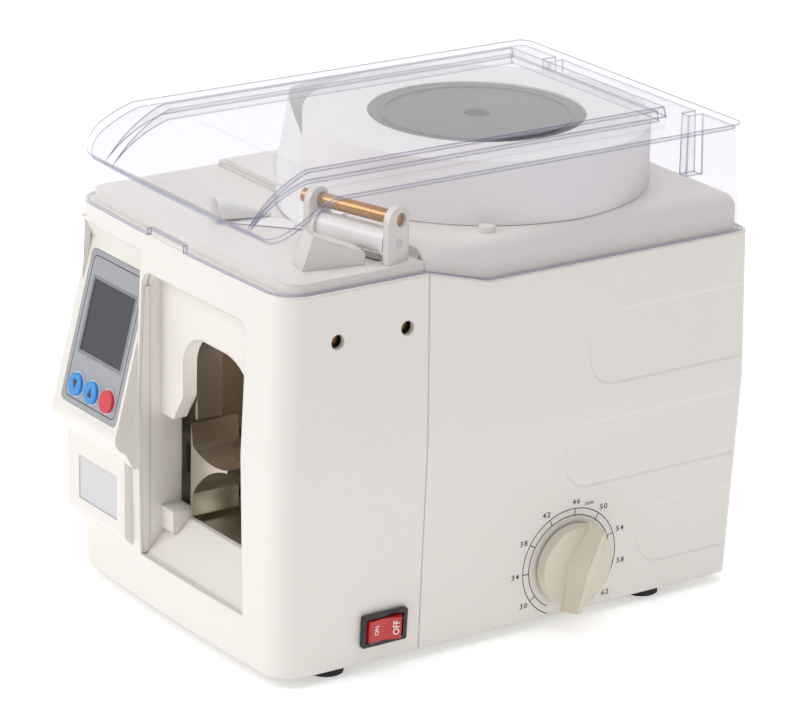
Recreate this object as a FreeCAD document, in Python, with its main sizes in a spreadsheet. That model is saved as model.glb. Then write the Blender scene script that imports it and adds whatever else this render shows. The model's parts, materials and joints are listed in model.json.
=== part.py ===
import FreeCAD, Part
import math
import os
import re

import Sketcher

# Banknote strapping machine. Lengths in millimetres, angles in degrees. The working frame has its
# origin on the floor under the axis of the tape roll, +X to the dial side, +Y to the rear, +Z up.
# Every sub-part is then placed by the same offset, so that the origin lies on the floor under the
# middle of the whole machine.

V = FreeCAD.Vector
doc = FreeCAD.newDocument("strapping_machine")

SIZES = {
    # case outside, as half widths and distances from the roll axis at three heights
    "foot_height": 5.0,
    "case_height": 179.0,
    "case_middle": 95.0,
    "half_low": 84.0,
    "half_middle": 87.6,
    "half_top": 86.0,
    "front_low": 155.6,
    "front_middle": 157.6,
    "front_top": 154.6,
    "front_bow_radius": 1500.0,
    "rear_low": 87.0,
    "rear_middle": 89.6,
    "rear_top": 88.4,
    "seam_y": 84.0,
    "seam_gap": 0.2,
    "front_corner": 13.0,
    "rear_corner": 6.0,
    "wall": 2.6,
    "bay_wall": 2.4,
    "fit_gap": 0.3,
    # upper deck and the rim that the lid stands on
    "rim_front_drop": 8.5,
    "rim_rear_drop": 17.0,
    "rim_slope_length": 31.0,
    "rim_width": 4.2,
    "front_deck_drop": 4.0,
    "shoulder_radius": 7.0,
    # note bay in the front cover
    "bay_left": 25.0,
    "bay_right": 57.0,
    "bay_top": 158.5,
    "bay_bottom": 27.0,
    "bay_corner": 7.0,
    "bay_panel_y": 147.5,
    "bay_lip": 7.0,
    "bay_rear_y": 136.5,
    "panel_foot_z": 91.5,
    "panel_foot_right": 14.6,
    "arch_left": 6.5,
    "arch_right": 51.0,
    "arch_top_z": 134.4,
    "arch_knee_z": 104.0,
    "arch_radius_left": 16.0,
    "arch_radius_right": 24.0,
    "sill_rear_z": 43.6,
    "stop_block_wide": 10.0,
    "stop_block_deep": 10.5,
    "stop_block_top": 48.0,
    # display housing, leaning forward at its foot
    "panel_left": 81.6,
    "panel_right": 26.6,
    "panel_lean": 14.26,
    "panel_top_y": 149.9,
    "panel_top_z": 158.4,
    "panel_length": 83.0,
    "panel_foot_round": 7.0,
    "panel_foot_in": 0.8,
    "panel_wall": 2.4,
    "overlay_left": 76.0,
    "overlay_right": 29.3,
    "overlay_top": 5.0,
    "overlay_length": 69.0,
    "overlay_corner": 3.0,
    "overlay_thick": 0.6,
    "lcd_left": 69.4,
    "lcd_right": 35.4,
    "lcd_top": 12.5,
    "lcd_length": 32.1,
    "lcd_recess": 0.4,
    "button_row": 60.0,
    "button_down_x": 65.5,
    "button_up_x": 52.3,
    "button_clear_x": 38.9,
    "button_radius": 5.1,
    "button_gap": 0.25,
    "button_proud": 1.5,
    "button_travel": 0.9,
    "button_flange": 1.1,
    "button_flange_thick": 1.5,
    "button_flange_play": 0.1,
    "board_pin_left": 75.5,
    "board_pin_right": 31.5,
    "board_pin_top": 9.5,
    "board_pin_low": 55.0,
    "board_pin_radius": 1.8,
    "board_set": 6.0,
    "board_front_thick": 1.6,
    "key_radius": 2.5,
    "key_gap": 0.1,
    # lower label housing
    "label_house_y": 161.5,
    "label_house_right": 32.0,
    "label_house_low": 30.0,
    "label_left": 71.6,
    "label_right": 38.8,
    "label_low": 39.0,
    "label_top": 59.2,
    "label_deep": 1.0,
    "label_thick": 0.7,
    "label_gap": 0.3,
    # rear wall
    "inlet_x": 50.0,
    "inlet_z": 34.0,
    "inlet_wide": 28.0,
    "inlet_tall": 20.0,
    "vent_x": -62.0,
    "vent_z": 30.0,
    "vent_long": 60.0,
    "vent_tall": 2.4,
    "vent_step": 6.4,
    "nub_rise": 2.4,
    "hinge_out": 4.0,
    "hinge_down": 0.6,
    "hinge_web": 10.0,
    # clear lid
    "lid_height": 31.4,
    "lid_wall": 2.1,
    "lid_half_low": 85.4,
    "lid_half_top": 82.0,
    "lid_front": 156.4,
    "lid_front_corner": 14.0,
    "lid_rear": 87.6,
    "lid_rear_top": 86.0,
    "lid_rear_corner": 6.0,
    "lid_brow_radius": 60.0,
    "lid_brow_drop": 17.0,
    "lid_brow_run": 29.0,
    "lid_seat_gap": 0.3,
    "lid_panel_half": 57.0,
    "lid_panel_rise": 5.0,
    "lid_panel_rear": 60.0,
    "lid_rib_x": 52.0,
    "lid_rib_wide": 5.0,
    "lid_rib_deep": 9.0,
    "notch_half": 14.5,
    "notch_x": 4.5,
    "notch_deep": 3.4,
    "hinge_pin_radius": 1.5,
    "hinge_bore_gap": 0.05,
    "hinge_knuckle_radius": 3.2,
    "hinge_x": 46.0,
    "hinge_knuckle_wide": 7.0,
    "hinge_gap": 0.4,
    # tape roll
    "roll_radius": 77.0,
    "roll_core_radius": 48.5,
    "tape_wide": 28.6,
    "roll_rest_gap": 0.3,
    "core_gap": 0.3,
    "core_wall": 2.0,
    "core_drop": 0.8,
    "core_ring_radius": 42.0,
    "spindle_radius": 6.0,
    "spindle_tall": 24.0,
    "spindle_gap": 0.1,
    "spindle_neck": 4.7,
    "spindle_tail": 10.0,
    "nut_half": 6.5,
    "nut_tall": 5.0,
    "hub_wall": 3.0,
    "nub_radius": 3.6,
    "nub_ring": 83.6,
    # guide set on the front deck
    "guide_turn": 17.0,
    "guide_right_x": 74.6,
    "guide_right_y": 95.4,
    "guide_span": 39.6,
    "guide_roller_height": 8.5,
    "guide_roller_radius": 5.6,
    "guide_flange_radius": 7.0,
    "guide_flange_wide": 2.0,
    "guide_shaft_radius": 2.0,
    "guide_pin_radius": 3.1,
    "guide_pin_height": 18.6,
    "guide_pin_rear": 1.5,
    "guide_pin_over": 6.0,
    "ear_thick": 3.4,
    "ear_deep": 13.0,
    "ear_top_height": 24.5,
    "ear_play": 0.3,
    "fence_right_x": 73.0,
    "fence_rear_y": 108.0,
    "fence_wide": 12.0,
    "fence_length": 28.0,
    "fence_front_height": 14.7,
    "fence_rear_height": 5.4,
    "fence_lean": 5.0,
    "fence_turn": 12.0,
    # loose end of the tape
    "strip_thick": 0.8,
    "strip_lift": 0.3,
    "strip_far_x": 78.4,
    "strip_start_y": 10.0,
    "strip_bend_y": 50.0,
    "strip_turn_x": 36.0,
    "strip_turn_y": 92.0,
    "strip_low_x": 2.0,
    "strip_low_y": 134.0,
    "strip_end_height": 12.0,
    # side fittings
    "dial_y": 4.6,
    "dial_z": 29.0,
    "knob_radius": 18.6,
    "knob_disc_thick": 5.0,
    "knob_set": 0.8,
    "knob_gap": 0.6,
    "knob_proud": 17.0,
    "grip_half_length": 21.6,
    "grip_crest_length": 19.0,
    "grip_foot_half": 6.6,
    "grip_crest_half": 2.4,
    "grip_side_radius": 60.0,
    "dial_angle": 20.0,
    "shaft_radius": 3.0,
    "shaft_inner_x": 50.0,
    "shaft_in_knob": 9.0,
    "dial_bush_gap": 0.05,
    "bush_radius": 5.0,
    "bush_flange_radius": 7.0,
    "bush_flange_x": 79.8,
    "bush_flange_thick": 2.1,
    "bush_long": 6.4,
    "switch_front_y": 115.0,
    "switch_long": 23.0,
    "switch_tall": 14.8,
    "switch_z": 20.2,
    "switch_seat": 1.0,
    "switch_tilt": 3.3,
    "switch_bezel_proud": 1.6,
    "switch_body_deep": 14.0,
    "switch_lap": 1.1,
    "switch_wall": 0.9,
    "switch_floor": 2.0,
    "rocker_gap": 0.3,
    "rocker_swing": 7.0,
    "rocker_radius": 9.1,
    "rocker_back": 3.0,
    "rocker_waist": 4.0,
    "rocker_crest": 5.4,
    "rocker_pivot_in": 1.5,
    "side_hole_radius": 3.2,
    "side_hole_z": 154.0,
    "side_hole_front_y": 130.0,
    "side_hole_rear_y": 95.0,
    "stud_radius": 2.6,
    "stud_long": 19.0,
    # chassis
    "base_thick": 2.0,
    "base_rise": 1.2,
    "base_gap": 0.4,
    "foot_x": 72.0,
    "foot_front_y": 124.0,
    "foot_rear_y": 46.0,
    "foot_radius": 8.0,
    "foot_neck_radius": 2.9,
    "foot_head_radius": 4.0,
    "foot_head_thick": 1.6,
    "post_x": 70.0,
    "post_front_y": 141.0,
    "post_middle_y": 70.0,
    "post_rear_y": 76.0,
    "post_radius": 4.5,
    "post_tall": 16.0,
    "post_web": 2.4,
    "screw_radius": 1.5,
    "screw_head_radius": 2.8,
    "screw_head_thick": 1.8,
    "screw_long": 9.0,
    "frame_thick": 2.0,
    "frame_left_x": 31.5,
    "frame_right_x": 61.0,
    "frame_front_y": 134.0,
    "frame_rear_y": 40.0,
    "frame_tail_y": 20.0,
    "frame_tail_z": 60.0,
    "frame_top_z": 158.0,
    "frame_tab": 12.0,
    "frame_tab_long": 16.0,
    "frame_tab_front_y": 108.0,
    "frame_tab_rear_y": 56.0,
    "tie_thick": 2.0,
    "tie_low_z": 140.0,
    "tie_front_y": 112.0,
    "tie_rear_y": 46.0,
    "cross_top_z": 33.0,
    "cross_rear_y": 100.0,
    # strapping head in the bay
    "arch_band": 1.6,
    "arch_band_gap": 0.8,
    "arch_band_front_y": 139.6,
    "arch_band_deep": 12.6,
    "arch_band_left_z": 92.0,
    "arch_band_right_z": 72.0,
    "wedge_deep": 24.0,
    "wedge_left_x": 12.6,
    "wedge_top_z": 88.6,
    "wedge_shoulder_z": 77.5,
    "wedge_apex_x": 17.1,
    "wedge_apex_z": 75.6,
    "wedge_back_x": 11.0,
    "wedge_back_z": 56.2,
    "wedge_low_z": 45.6,
    "wedge_edge": 1.2,
    "wedge_curve": 40.0,
    "wedge_arm_y": 132.0,
    "wedge_arm_deep": 6.0,
    "wedge_arm_z": 60.0,
    "wedge_arm_tall": 14.0,
    "jaw_x": 24.0,
    "jaw_long": 26.0,
    "jaw_tall": 17.0,
    "jaw_z": 51.0,
    "jaw_deep": 16.0,
    "jaw_y": 132.0,
    "jaw_nose": 6.0,
    "jaw_rod_radius": 2.5,
    "jaw_rod_in": 14.0,
    "coil_long": 17.0,
    "coil_half": 9.0,
    "heater_long": 16.2,
    "heater_low_z": 60.0,
    "heater_tall": 20.0,
    "heater_y": 112.0,
    "heater_deep": 8.0,
    "heater_seat": 0.3,
    "floor_thick": 2.0,
    "floor_rear_y": 106.0,
    "floor_side_gap": 0.3,
    "floor_lip": 8.0,
    "blade_half": 10.0,
    "blade_thick": 1.4,
    "blade_y": 104.4,
    "blade_low_z": 34.4,
    "blade_top_z": 50.0,
    "blade_edge": 3.0,
    "cutter_y": 114.0,
    "cutter_half": 9.0,
    "cutter_top_z": 28.0,
    "cutter_bore": 3.2,
    "plunger_radius": 3.1,
    "plunger_gap": 0.1,
    "plunger_in": 12.0,
    "blade_foot": 2.0,
    # note stop with its rack
    "strap_y": 133.5,
    "dial_reading": 48.5,
    "stop_left": 27.0,
    "stop_right": 56.0,
    "stop_low_z": 46.0,
    "stop_top_z": 155.0,
    "stop_thick": 2.5,
    "stop_boss_radius": 5.5,
    "stop_boss_long": 12.0,
    "rod_radius": 3.0,
    "rod_gap": 0.06,
    "rod_z": 148.0,
    "rod_left_x": 20.0,
    "rod_right_x": 46.0,
    "pinion_teeth": 15.0,
    "pinion_module": 0.943,
    "pinion_x": 52.0,
    "tooth_lash": 0.12,
    "gear_wide": 6.0,
    "rack_teeth": 15.0,
    "rack_back": 4.0,
    "rack_lug_top_z": 60.0,
    "rack_lug_deep": 4.0,
    "rack_start": 9.0,
    # drive under the bay
    "feed_x": 34.0,
    "feed_z": 24.0,
    "feed_radius": 9.0,
    "pinch_radius": 7.0,
    "pinch_gap": 0.4,
    "roller_front_y": 131.4,
    "roller_long": 29.0,
    "axle_radius": 2.5,
    "axle_gap": 0.05,
    "feed_axle_end_y": 93.0,
    "feed_gear_teeth": 36.0,
    "motor_gear_teeth": 14.0,
    "drive_module": 0.7,
    "drive_gear_y": 98.0,
    "drive_gear_wide": 5.0,
    "motor_plate_y": 91.0,
    "motor_plate_half": 17.0,
    "motor_plate_top_z": 42.0,
    "motor_radius": 14.0,
    "motor_long": 46.0,
    "motor_shaft_radius": 1.6,
    # electrics
    "core_left": 62.0,
    "core_right": 14.0,
    "core_front_y": 12.0,
    "core_deep": 22.0,
    "core_tall": 44.0,
    "coil_over": 9.0,
    "coil_margin": 7.0,
    "board_y": 74.0,
    "board_thick": 1.6,
    "board_left": 66.0,
    "board_right": 30.0,
    "board_low_z": 70.0,
    "board_top_z": 150.0,
    "board_post_radius": 3.0,
    "relay_deep": 12.0,
    "relay_long": 20.0,
    "relay_tall": 14.0,
    "inlet_flange": 2.4,
    "inlet_flange_thick": 2.0,
    "inlet_deep": 18.0,
    "inlet_pin_gap": 6.0,
    "inlet_seat": 0.3,
}

sheet = doc.addObject("Spreadsheet::Sheet", "sizes")
for row, (name, value) in enumerate(SIZES.items(), 1):
    sheet.set("A%d" % row, name)
    sheet.set("B%d" % row, str(value))
    sheet.setAlias("B%d" % row, name)
doc.recompute()


def bound(text):
    """The expression with every size name written as a cell of the sheet."""
    return re.sub(r"[A-Za-z_]\w*", lambda m: "sizes." + m[0] if m[0] in SIZES else m[0], text)


def size(text):
    """The present value of an expression of size names."""
    return float(sheet.evalExpression(text))


ROUND = 1e-9
DECK = "(foot_height + case_height)"
RIM_FRONT = "(foot_height + case_height - rim_front_drop)"
RIM_REAR = "(foot_height + case_height - rim_rear_drop)"
MIDDLE = "(foot_height + case_middle)"
FRONT_DECK = "(foot_height + case_height - front_deck_drop)"
PLATE_LOW = "(foot_height + base_rise)"
PLATE_TOP = "(foot_height + base_rise + base_thick)"
KNOB_FACE = "(half_low + knob_gap + knob_proud)"

# the machine's middle on the floor: between the left case wall and the knob, and between the foot
# of the display housing and the lid hinge
parts = {}


def shape_of(label, kind, name):
    item = doc.addObject(kind, name)
    item.Label = label
    parts[label] = item
    return item


def place(item, x="0", y="0", z="0", axis=V(0, 0, 1), turn=None):
    """Sets an item down at a point of the working frame, turned about an axis through it."""
    if turn is not None:
        item.Placement = FreeCAD.Placement(V(0, 0, 0), FreeCAD.Rotation(axis, size(turn)))
        item.setExpression("Placement.Rotation.Angle", bound(turn))
    item.setExpression("Placement.Base.x", bound("(%s) - origin_x" % x))
    item.setExpression("Placement.Base.y", bound("(%s) + origin_y" % y))
    item.setExpression("Placement.Base.z", bound(z))
    return item


def new_body(label):
    return shape_of(label, "PartDesign::Body", label + "_body")


def sketch_on(body, name, role, at, shift=None, turn=None):
    """An empty sketch on one of the body's own planes, moved along its normal."""
    plane = next(f for f in body.Origin.OriginFeatures if f.Role == role)
    sketch = body.newObject("Sketcher::SketchObject", name)
    sketch.AttachmentSupport = [(plane, "")]
    sketch.MapMode = "FlatFace"
    if turn is not None:
        sketch.AttachmentOffset = FreeCAD.Placement(V(0, 0, 0), FreeCAD.Rotation(V(0, 0, 1), size(turn)))
        sketch.setExpression("AttachmentOffset.Rotation.Angle", bound(turn))
    if shift is not None:
        sketch.setExpression("AttachmentOffset.Base.x", bound(shift[0]))
        sketch.setExpression("AttachmentOffset.Base.y", bound(shift[1]))
    sketch.setExpression("AttachmentOffset.Base.z", bound(at))
    return sketch


def hold(sketch, geometry, end, x, y):
    """Ties one end of a curve to a point given by two expressions."""
    for kind, text, axis in (("DistanceX", x, -2), ("DistanceY", y, -1)):
        value = size(text)
        if abs(value) < ROUND:
            sketch.addConstraint(Sketcher.Constraint("PointOnObject", geometry, end, axis))
        else:
            index = sketch.addConstraint(Sketcher.Constraint(kind, -1, 1, geometry, end, value))
            sketch.setExpression("Constraints[%d]" % index, bound(text))


def add_outline(sketch, corners):
    """Closed outline; a corner's third entry is the radius of the arc to the next corner, with a
    positive one turning left."""
    points = [V(size(c[0]), size(c[1]), 0) for c in corners]
    ends = []
    for i, corner in enumerate(corners):
        start, stop = points[i], points[(i + 1) % len(points)]
        if len(corner) == 2:
            ends.append((sketch.addGeometry(Part.LineSegment(start, stop)), 1, 2))
            continue
        radius = size(corner[2])
        chord = stop - start
        rise = math.sqrt(max(radius ** 2 - (chord.Length / 2) ** 2, 0))
        across = V(-chord.y, chord.x, 0).normalize() * math.copysign(rise, radius)
        centre = (start + stop) * 0.5 + across
        first, last = (start, stop) if radius > 0 else (stop, start)
        angles = [math.atan2(p.y - centre.y, p.x - centre.x) for p in (first, last)]
        circle = Part.Circle(centre, V(0, 0, 1), abs(radius))
        index = sketch.addGeometry(Part.ArcOfCircle(circle, *angles))
        tie = sketch.addConstraint(Sketcher.Constraint("Radius", index, abs(radius)))
        sketch.setExpression("Constraints[%d]" % tie, bound("abs(%s)" % corner[2]))
        ends.append((index, 1, 2) if radius > 0 else (index, 2, 1))
    for i, (index, start, stop) in enumerate(ends):
        following = ends[(i + 1) % len(ends)]
        sketch.addConstraint(Sketcher.Constraint("Coincident", index, stop, following[0], following[1]))
        hold(sketch, index, start, corners[i][0], corners[i][1])


def outline(body, name, role, at, corners, shift=None, turn=None):
    sketch = sketch_on(body, name, role, at, shift, turn)
    add_outline(sketch, corners)
    return sketch


def add_circle(sketch, x, y, radius):
    index = sketch.addGeometry(Part.Circle(V(size(x), size(y), 0), V(0, 0, 1), size(radius)))
    tie = sketch.addConstraint(Sketcher.Constraint("Radius", index, size(radius)))
    sketch.setExpression("Constraints[%d]" % tie, bound(radius))
    hold(sketch, index, 3, x, y)


def circles(body, name, role, at, rounds, shift=None, turn=None):
    sketch = sketch_on(body, name, role, at, shift, turn)
    for x, y, radius in rounds:
        add_circle(sketch, x, y, radius)
    return sketch


def box(x0, x1, y0, y1):
    """Corners of a rectangle."""
    return [(x0, y0), (x1, y0), (x1, y1), (x0, y1)]


def round_box(x0, x1, y0, y1, radius):
    """Corners of a rectangle with round corners."""
    r = radius
    return [
        ("(%s) + %s" % (x0, r), y0), ("(%s) - %s" % (x1, r), y0, r),
        (x1, "(%s) + %s" % (y0, r)), (x1, "(%s) - %s" % (y1, r), r),
        ("(%s) - %s" % (x1, r), y1), ("(%s) + %s" % (x0, r), y1, r),
        (x0, "(%s) - %s" % (y1, r)), (x0, "(%s) + %s" % (y0, r), r),
    ]


def pad(body, sketch, length, back=False, both=False):
    feature = body.newObject("PartDesign::Pad", sketch.Name + "_pad")
    feature.Profile = sketch
    feature.setExpression("Length", bound(length))
    feature.Reversed = back
    feature.Midplane = both
    body.Tip = feature
    doc.recompute()
    return feature


def pocket(body, sketch, length=None, back=False, both=False):
    """Cuts against the sketch's normal, or along it with back, through all when no length is given."""
    before = body.Tip.Shape.Volume
    feature = body.newObject("PartDesign::Pocket", sketch.Name + "_cut")
    feature.Profile = sketch
    if length is None:
        feature.Type = "ThroughAll"
    else:
        feature.setExpression("Length", bound(length))
    feature.Reversed = back
    feature.Midplane = both
    body.Tip = feature
    doc.recompute()
    if not feature.Shape.Volume < before - ROUND:
        raise ValueError("%s cuts nothing" % sketch.Name)
    return feature


def loft(body, sketches, kind="PartDesign::AdditiveLoft"):
    feature = body.newObject(kind, sketches[0].Name + "_loft")
    feature.Profile = sketches[0]
    feature.Sections = sketches[1:]
    feature.Ruled = True
    body.Tip = feature
    doc.recompute()
    return feature


def revolve(body, sketch, axis="H_Axis", kind="PartDesign::Revolution"):
    feature = body.newObject(kind, sketch.Name + "_turned")
    feature.Profile = sketch
    feature.ReferenceAxis = (sketch, [axis])
    feature.Angle = 360
    body.Tip = feature
    doc.recompute()
    return feature


def round_edges(body, name, radius, chosen, kind="PartDesign::Fillet"):
    """Rounds the tip's edges that the test picks."""
    tip = body.Tip
    edges = ["Edge%d" % i for i, e in enumerate(tip.Shape.Edges, 1) if chosen(e)]
    feature = body.newObject(kind, name)
    feature.Base = (tip, edges)
    feature.setExpression("Radius" if kind.endswith("Fillet") else "Size", bound(radius))
    body.Tip = feature
    doc.recompute()
    if "Invalid" in feature.State or not edges:
        raise ValueError("%s rounds nothing" % name)
    return feature


def middle(edge):
    return edge.valueAt((edge.FirstParameter + edge.LastParameter) / 2)


# origin of the hand-over frame, tied to the outermost pieces
sheet.set("A%d" % (len(SIZES) + 1), "origin_x")
sheet.set("B%d" % (len(SIZES) + 1), "=(knob_proud + knob_gap) / 2 - (half_middle - half_low) / 2")
sheet.setAlias("B%d" % (len(SIZES) + 1), "origin_x")
sheet.set("A%d" % (len(SIZES) + 2), "origin_y")
sheet.set(
    "B%d" % (len(SIZES) + 2), "=(panel_top_y + panel_length * sin(panel_lean) - panel_foot_in"
    " - rear_top - hinge_out - hinge_knuckle_radius) / 2")
sheet.setAlias("B%d" % (len(SIZES) + 2), "origin_y")
sheet.set("A%d" % (len(SIZES) + 3), "pi_step")
sheet.set("B%d" % (len(SIZES) + 3), "=pi * pinion_module")
sheet.setAlias("B%d" % (len(SIZES) + 3), "pi_step")
SIZES.update(origin_x=None, origin_y=None, pi_step=None)
doc.recompute()


def front_section(body, name, z, half, front, inset="0", over="0"):
    """Level section of the front cover, from the seam round the bowed front."""
    w = "(%s - %s)" % (half, inset)
    f = "(%s - %s)" % (front, inset)
    r = "(front_corner - %s)" % inset
    seam = "-(seam_y + seam_gap / 2 - %s)" % over
    return outline(body, name, "XY_Plane", z, [
        ("-" + w, seam), ("-" + w, "-(%s - %s)" % (f, r), r),
        ("-(%s - %s)" % (w, r), "-" + f, "front_bow_radius"), ("%s - %s" % (w, r), "-" + f, r),
        (w, "-(%s - %s)" % (f, r)), (w, seam),
    ])


def rear_section(body, name, z, half, rear, inset="0", over="0"):
    """Level section of the rear shell, from the seam round the square back."""
    w = "(%s - %s)" % (half, inset)
    b = "(%s - %s)" % (rear, inset)
    r = "(rear_corner - %s)" % inset if inset != "rim_width" else "(rear_corner - wall)"
    seam = "-(seam_y - seam_gap / 2 + %s)" % over
    return outline(body, name, "XY_Plane", z, [
        (w, seam), (w, "%s - %s" % (b, r), r), ("%s - %s" % (w, r), b),
        ("-(%s - %s)" % (w, r), b, r), ("-" + w, "%s - %s" % (b, r)), ("-" + w, seam),
    ])


def build_front_cover():
    body = new_body("front_cover")
    loft(body, [
        front_section(body, "cover_low", "foot_height", "half_low", "front_low"),
        front_section(body, "cover_middle", MIDDLE, "half_middle", "front_middle"),
        front_section(body, "cover_top", RIM_FRONT, "half_top", "front_top"),
    ])
    deck = front_section(body, "cover_deck", "%s - wall" % RIM_FRONT, "half_top", "front_top", "rim_width")
    pad(body, deck, "rim_front_drop - front_deck_drop + wall")
    loft(body, [
        front_section(body, "hollow_low", "foot_height - 1", "half_low", "front_low", "wall", "1"),
        front_section(body, "hollow_middle", MIDDLE, "half_middle", "front_middle", "wall", "1"),
        front_section(body, "hollow_top", "%s - wall" % RIM_FRONT, "half_top", "front_top", "wall", "1"),
    ], "PartDesign::SubtractiveLoft")
    under = front_section(body, "deck_under", "%s - wall" % FRONT_DECK, "half_top", "front_top",
                          "(rim_width + wall)", "1")
    pocket(body, under, "rim_front_drop")
    build_bay(body)
    build_display_house(body)
    build_cover_fittings(body)
    return place(body)


def bay_outline(body, name, at, grow="0"):
    """Outline of the note bay with round upper corners."""
    left = "-(bay_left + %s)" % grow
    right = "bay_right + %s" % grow
    top = "bay_top + %s" % grow
    r = "(bay_corner + %s)" % grow
    return outline(body, name, "XZ_Plane", at, [
        (left, "bay_bottom - %s" % grow), (right, "bay_bottom - %s" % grow),
        (right, "%s - %s" % (top, r), r), ("%s - %s" % (right, r), top),
        ("%s + %s" % (left, r), top, r), (left, "%s - %s" % (top, r)),
    ])


def build_bay(body):
    """Liner of the note bay: side walls, arched panel, sloping sill and stop block."""
    pad(body, bay_outline(body, "bay_liner", "bay_rear_y", "bay_wall"), "front_top - 1 - bay_rear_y")
    pocket(body, bay_outline(body, "bay_recess", "bay_panel_y"), "front_middle", back=True)
    arch = outline(body, "bay_arch", "XZ_Plane", "bay_panel_y + 1", [
        ("-bay_left", "bay_bottom"), ("arch_right", "bay_bottom"),
        ("arch_right", "arch_top_z - arch_radius_right", "arch_radius_right"),
        ("arch_right - arch_radius_right", "arch_top_z"),
        ("-arch_left + arch_radius_left", "arch_top_z", "arch_radius_left"),
        ("-arch_left", "arch_top_z - arch_radius_left"), ("-arch_left", "arch_knee_z"),
        ("-panel_foot_right", "panel_foot_z"), ("-bay_left", "panel_foot_z"),
    ])
    pocket(body, arch, "bay_panel_y + 2 - bay_rear_y")
    pocket(body, bay_outline(body, "bay_behind", "bay_panel_y - bay_lip"),
        "bay_panel_y - bay_lip - bay_rear_y + 1")
    sill = outline(body, "bay_sill", "YZ_Plane", "-bay_left - bay_wall / 2", [
        ("-(front_low - 1)", "bay_bottom"), ("-bay_rear_y - bay_wall", "sill_rear_z"),
        ("-bay_rear_y", "sill_rear_z"), ("-bay_rear_y", "bay_bottom - bay_wall"),
        ("-(front_low - 1)", "bay_bottom - bay_wall"),
    ])
    pad(body, sill, "bay_left + bay_right + bay_wall")
    block = outline(body, "bay_block", "XY_Plane", "stop_block_top", box(
        "-(bay_left + bay_wall / 2)", "-(bay_left - stop_block_wide)",
        "-(bay_rear_y + stop_block_deep)", "-bay_rear_y"))
    pad(body, block, "stop_block_top - sill_rear_z + 6", back=True)


def house_points(inset):
    """Side profile of the display housing: its leaning face and round foot, drawn in from outside."""
    foot_y = "(panel_top_y + panel_length * sin(panel_lean) - %s)" % inset
    foot_z = "(panel_top_z - panel_length * cos(panel_lean))"
    return foot_y, foot_z


def build_display_house(body):
    """Leaning display housing and the label housing under it."""
    front = "(front_middle + 20)"
    foot_y, foot_z = house_points("0")
    opening = outline(body, "house_opening", "XZ_Plane", front, [
        ("-(panel_left - wall)", "label_house_low"), ("-(label_house_right + 0.4)", "label_house_low"),
        ("-(label_house_right + 0.4)", "%s - 6" % foot_z), ("-(panel_right + 0.4)", "%s - 6" % foot_z),
        ("-(panel_right + 0.4)", "panel_top_z + 8"), ("-(panel_left - wall)", "panel_top_z + 8"),
    ])
    pocket(body, opening, "20 + wall + 8")
    back_y = "-(front_top - wall - 4)"
    house = outline(body, "house_side", "YZ_Plane", "-panel_left", [
        (back_y, "panel_top_z + 9.5"), ("-(front_top - 0.4)", "panel_top_z + 9.5"),
        ("-panel_top_y", "panel_top_z"),
        ("-(%s - panel_foot_round * sin(panel_lean))" % foot_y, "%s + panel_foot_round" % foot_z,
         "panel_foot_round"),
        ("-(%s - panel_foot_round * 0.8)" % foot_y, "%s - panel_foot_round * 0.45" % foot_z),
        ("-(label_house_y - 1)", "%s - 11" % foot_z), (back_y, "%s - 11" % foot_z),
    ])
    pad(body, house, "panel_left - panel_right")
    label = outline(body, "label_side", "YZ_Plane", "-panel_left", [
        (back_y, "%s - 8" % foot_z), ("-label_house_y", "%s - 8" % foot_z),
        ("-label_house_y", "label_house_low + 4", "5"), ("-(label_house_y - 3.4)", "label_house_low - 0.4"),
        ("-(front_low - 0.4)", "label_house_low - 5"), (back_y, "label_house_low - 5"),
    ])
    pad(body, label, "panel_left - label_house_right")
    hollow = outline(body, "house_hollow", "YZ_Plane", "-(panel_left - panel_wall)", [
        ("-(front_top - wall - 2)", "panel_top_z + 7"), ("-(front_top - 2.4)", "panel_top_z + 7"),
        ("-(panel_top_y - panel_wall)", "panel_top_z"),
        ("-(%s - panel_wall - 4 * sin(panel_lean))" % foot_y, "%s + 4" % foot_z),
        ("-(%s - panel_wall - 4)" % foot_y, "%s - 1" % foot_z),
        ("-(label_house_y - panel_wall)", "%s - 8" % foot_z),
        ("-(label_house_y - panel_wall)", "label_house_low + 4"),
        ("-(front_low - wall)", "label_house_low"), ("-(front_low - wall - 8)", "label_house_low"),
        ("-(front_low - wall - 8)", "panel_top_z + 2"),
    ])
    pocket(body, hollow, "panel_left - label_house_right - 2 * panel_wall", back=True)
    upper = outline(body, "house_upper", "YZ_Plane", "-(panel_left - panel_wall)", [
        ("-(front_top - wall - 8)", "panel_top_z + 2"), ("-(panel_top_y - panel_wall)", "panel_top_z"),
        ("-(%s - panel_wall - 8 * sin(panel_lean))" % foot_y, "%s + 8 * cos(panel_lean)" % foot_z),
        ("-(front_top - wall - 8)", "%s + 8 * cos(panel_lean)" % foot_z),
    ])
    pocket(body, upper, "panel_left - panel_right - 2 * panel_wall", back=True)
    build_panel_windows(body)


BUTTON_X = {"down_button": "-button_down_x", "up_button": "-button_up_x", "clear_button": "-button_clear_x"}
BUTTON_ROW = "-(overlay_top + button_row)"


def panel_outline(body, name, at, corners):
    """Outline on the leaning face, with x across and y up from its top edge."""
    sketch = panel_sketch(body, name, at)
    add_outline(sketch, corners)
    return sketch


def panel_rounds(body, name, at, rounds):
    sketch = panel_sketch(body, name, at)
    for x, y, radius in rounds:
        add_circle(sketch, x, y, radius)
    return sketch


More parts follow.
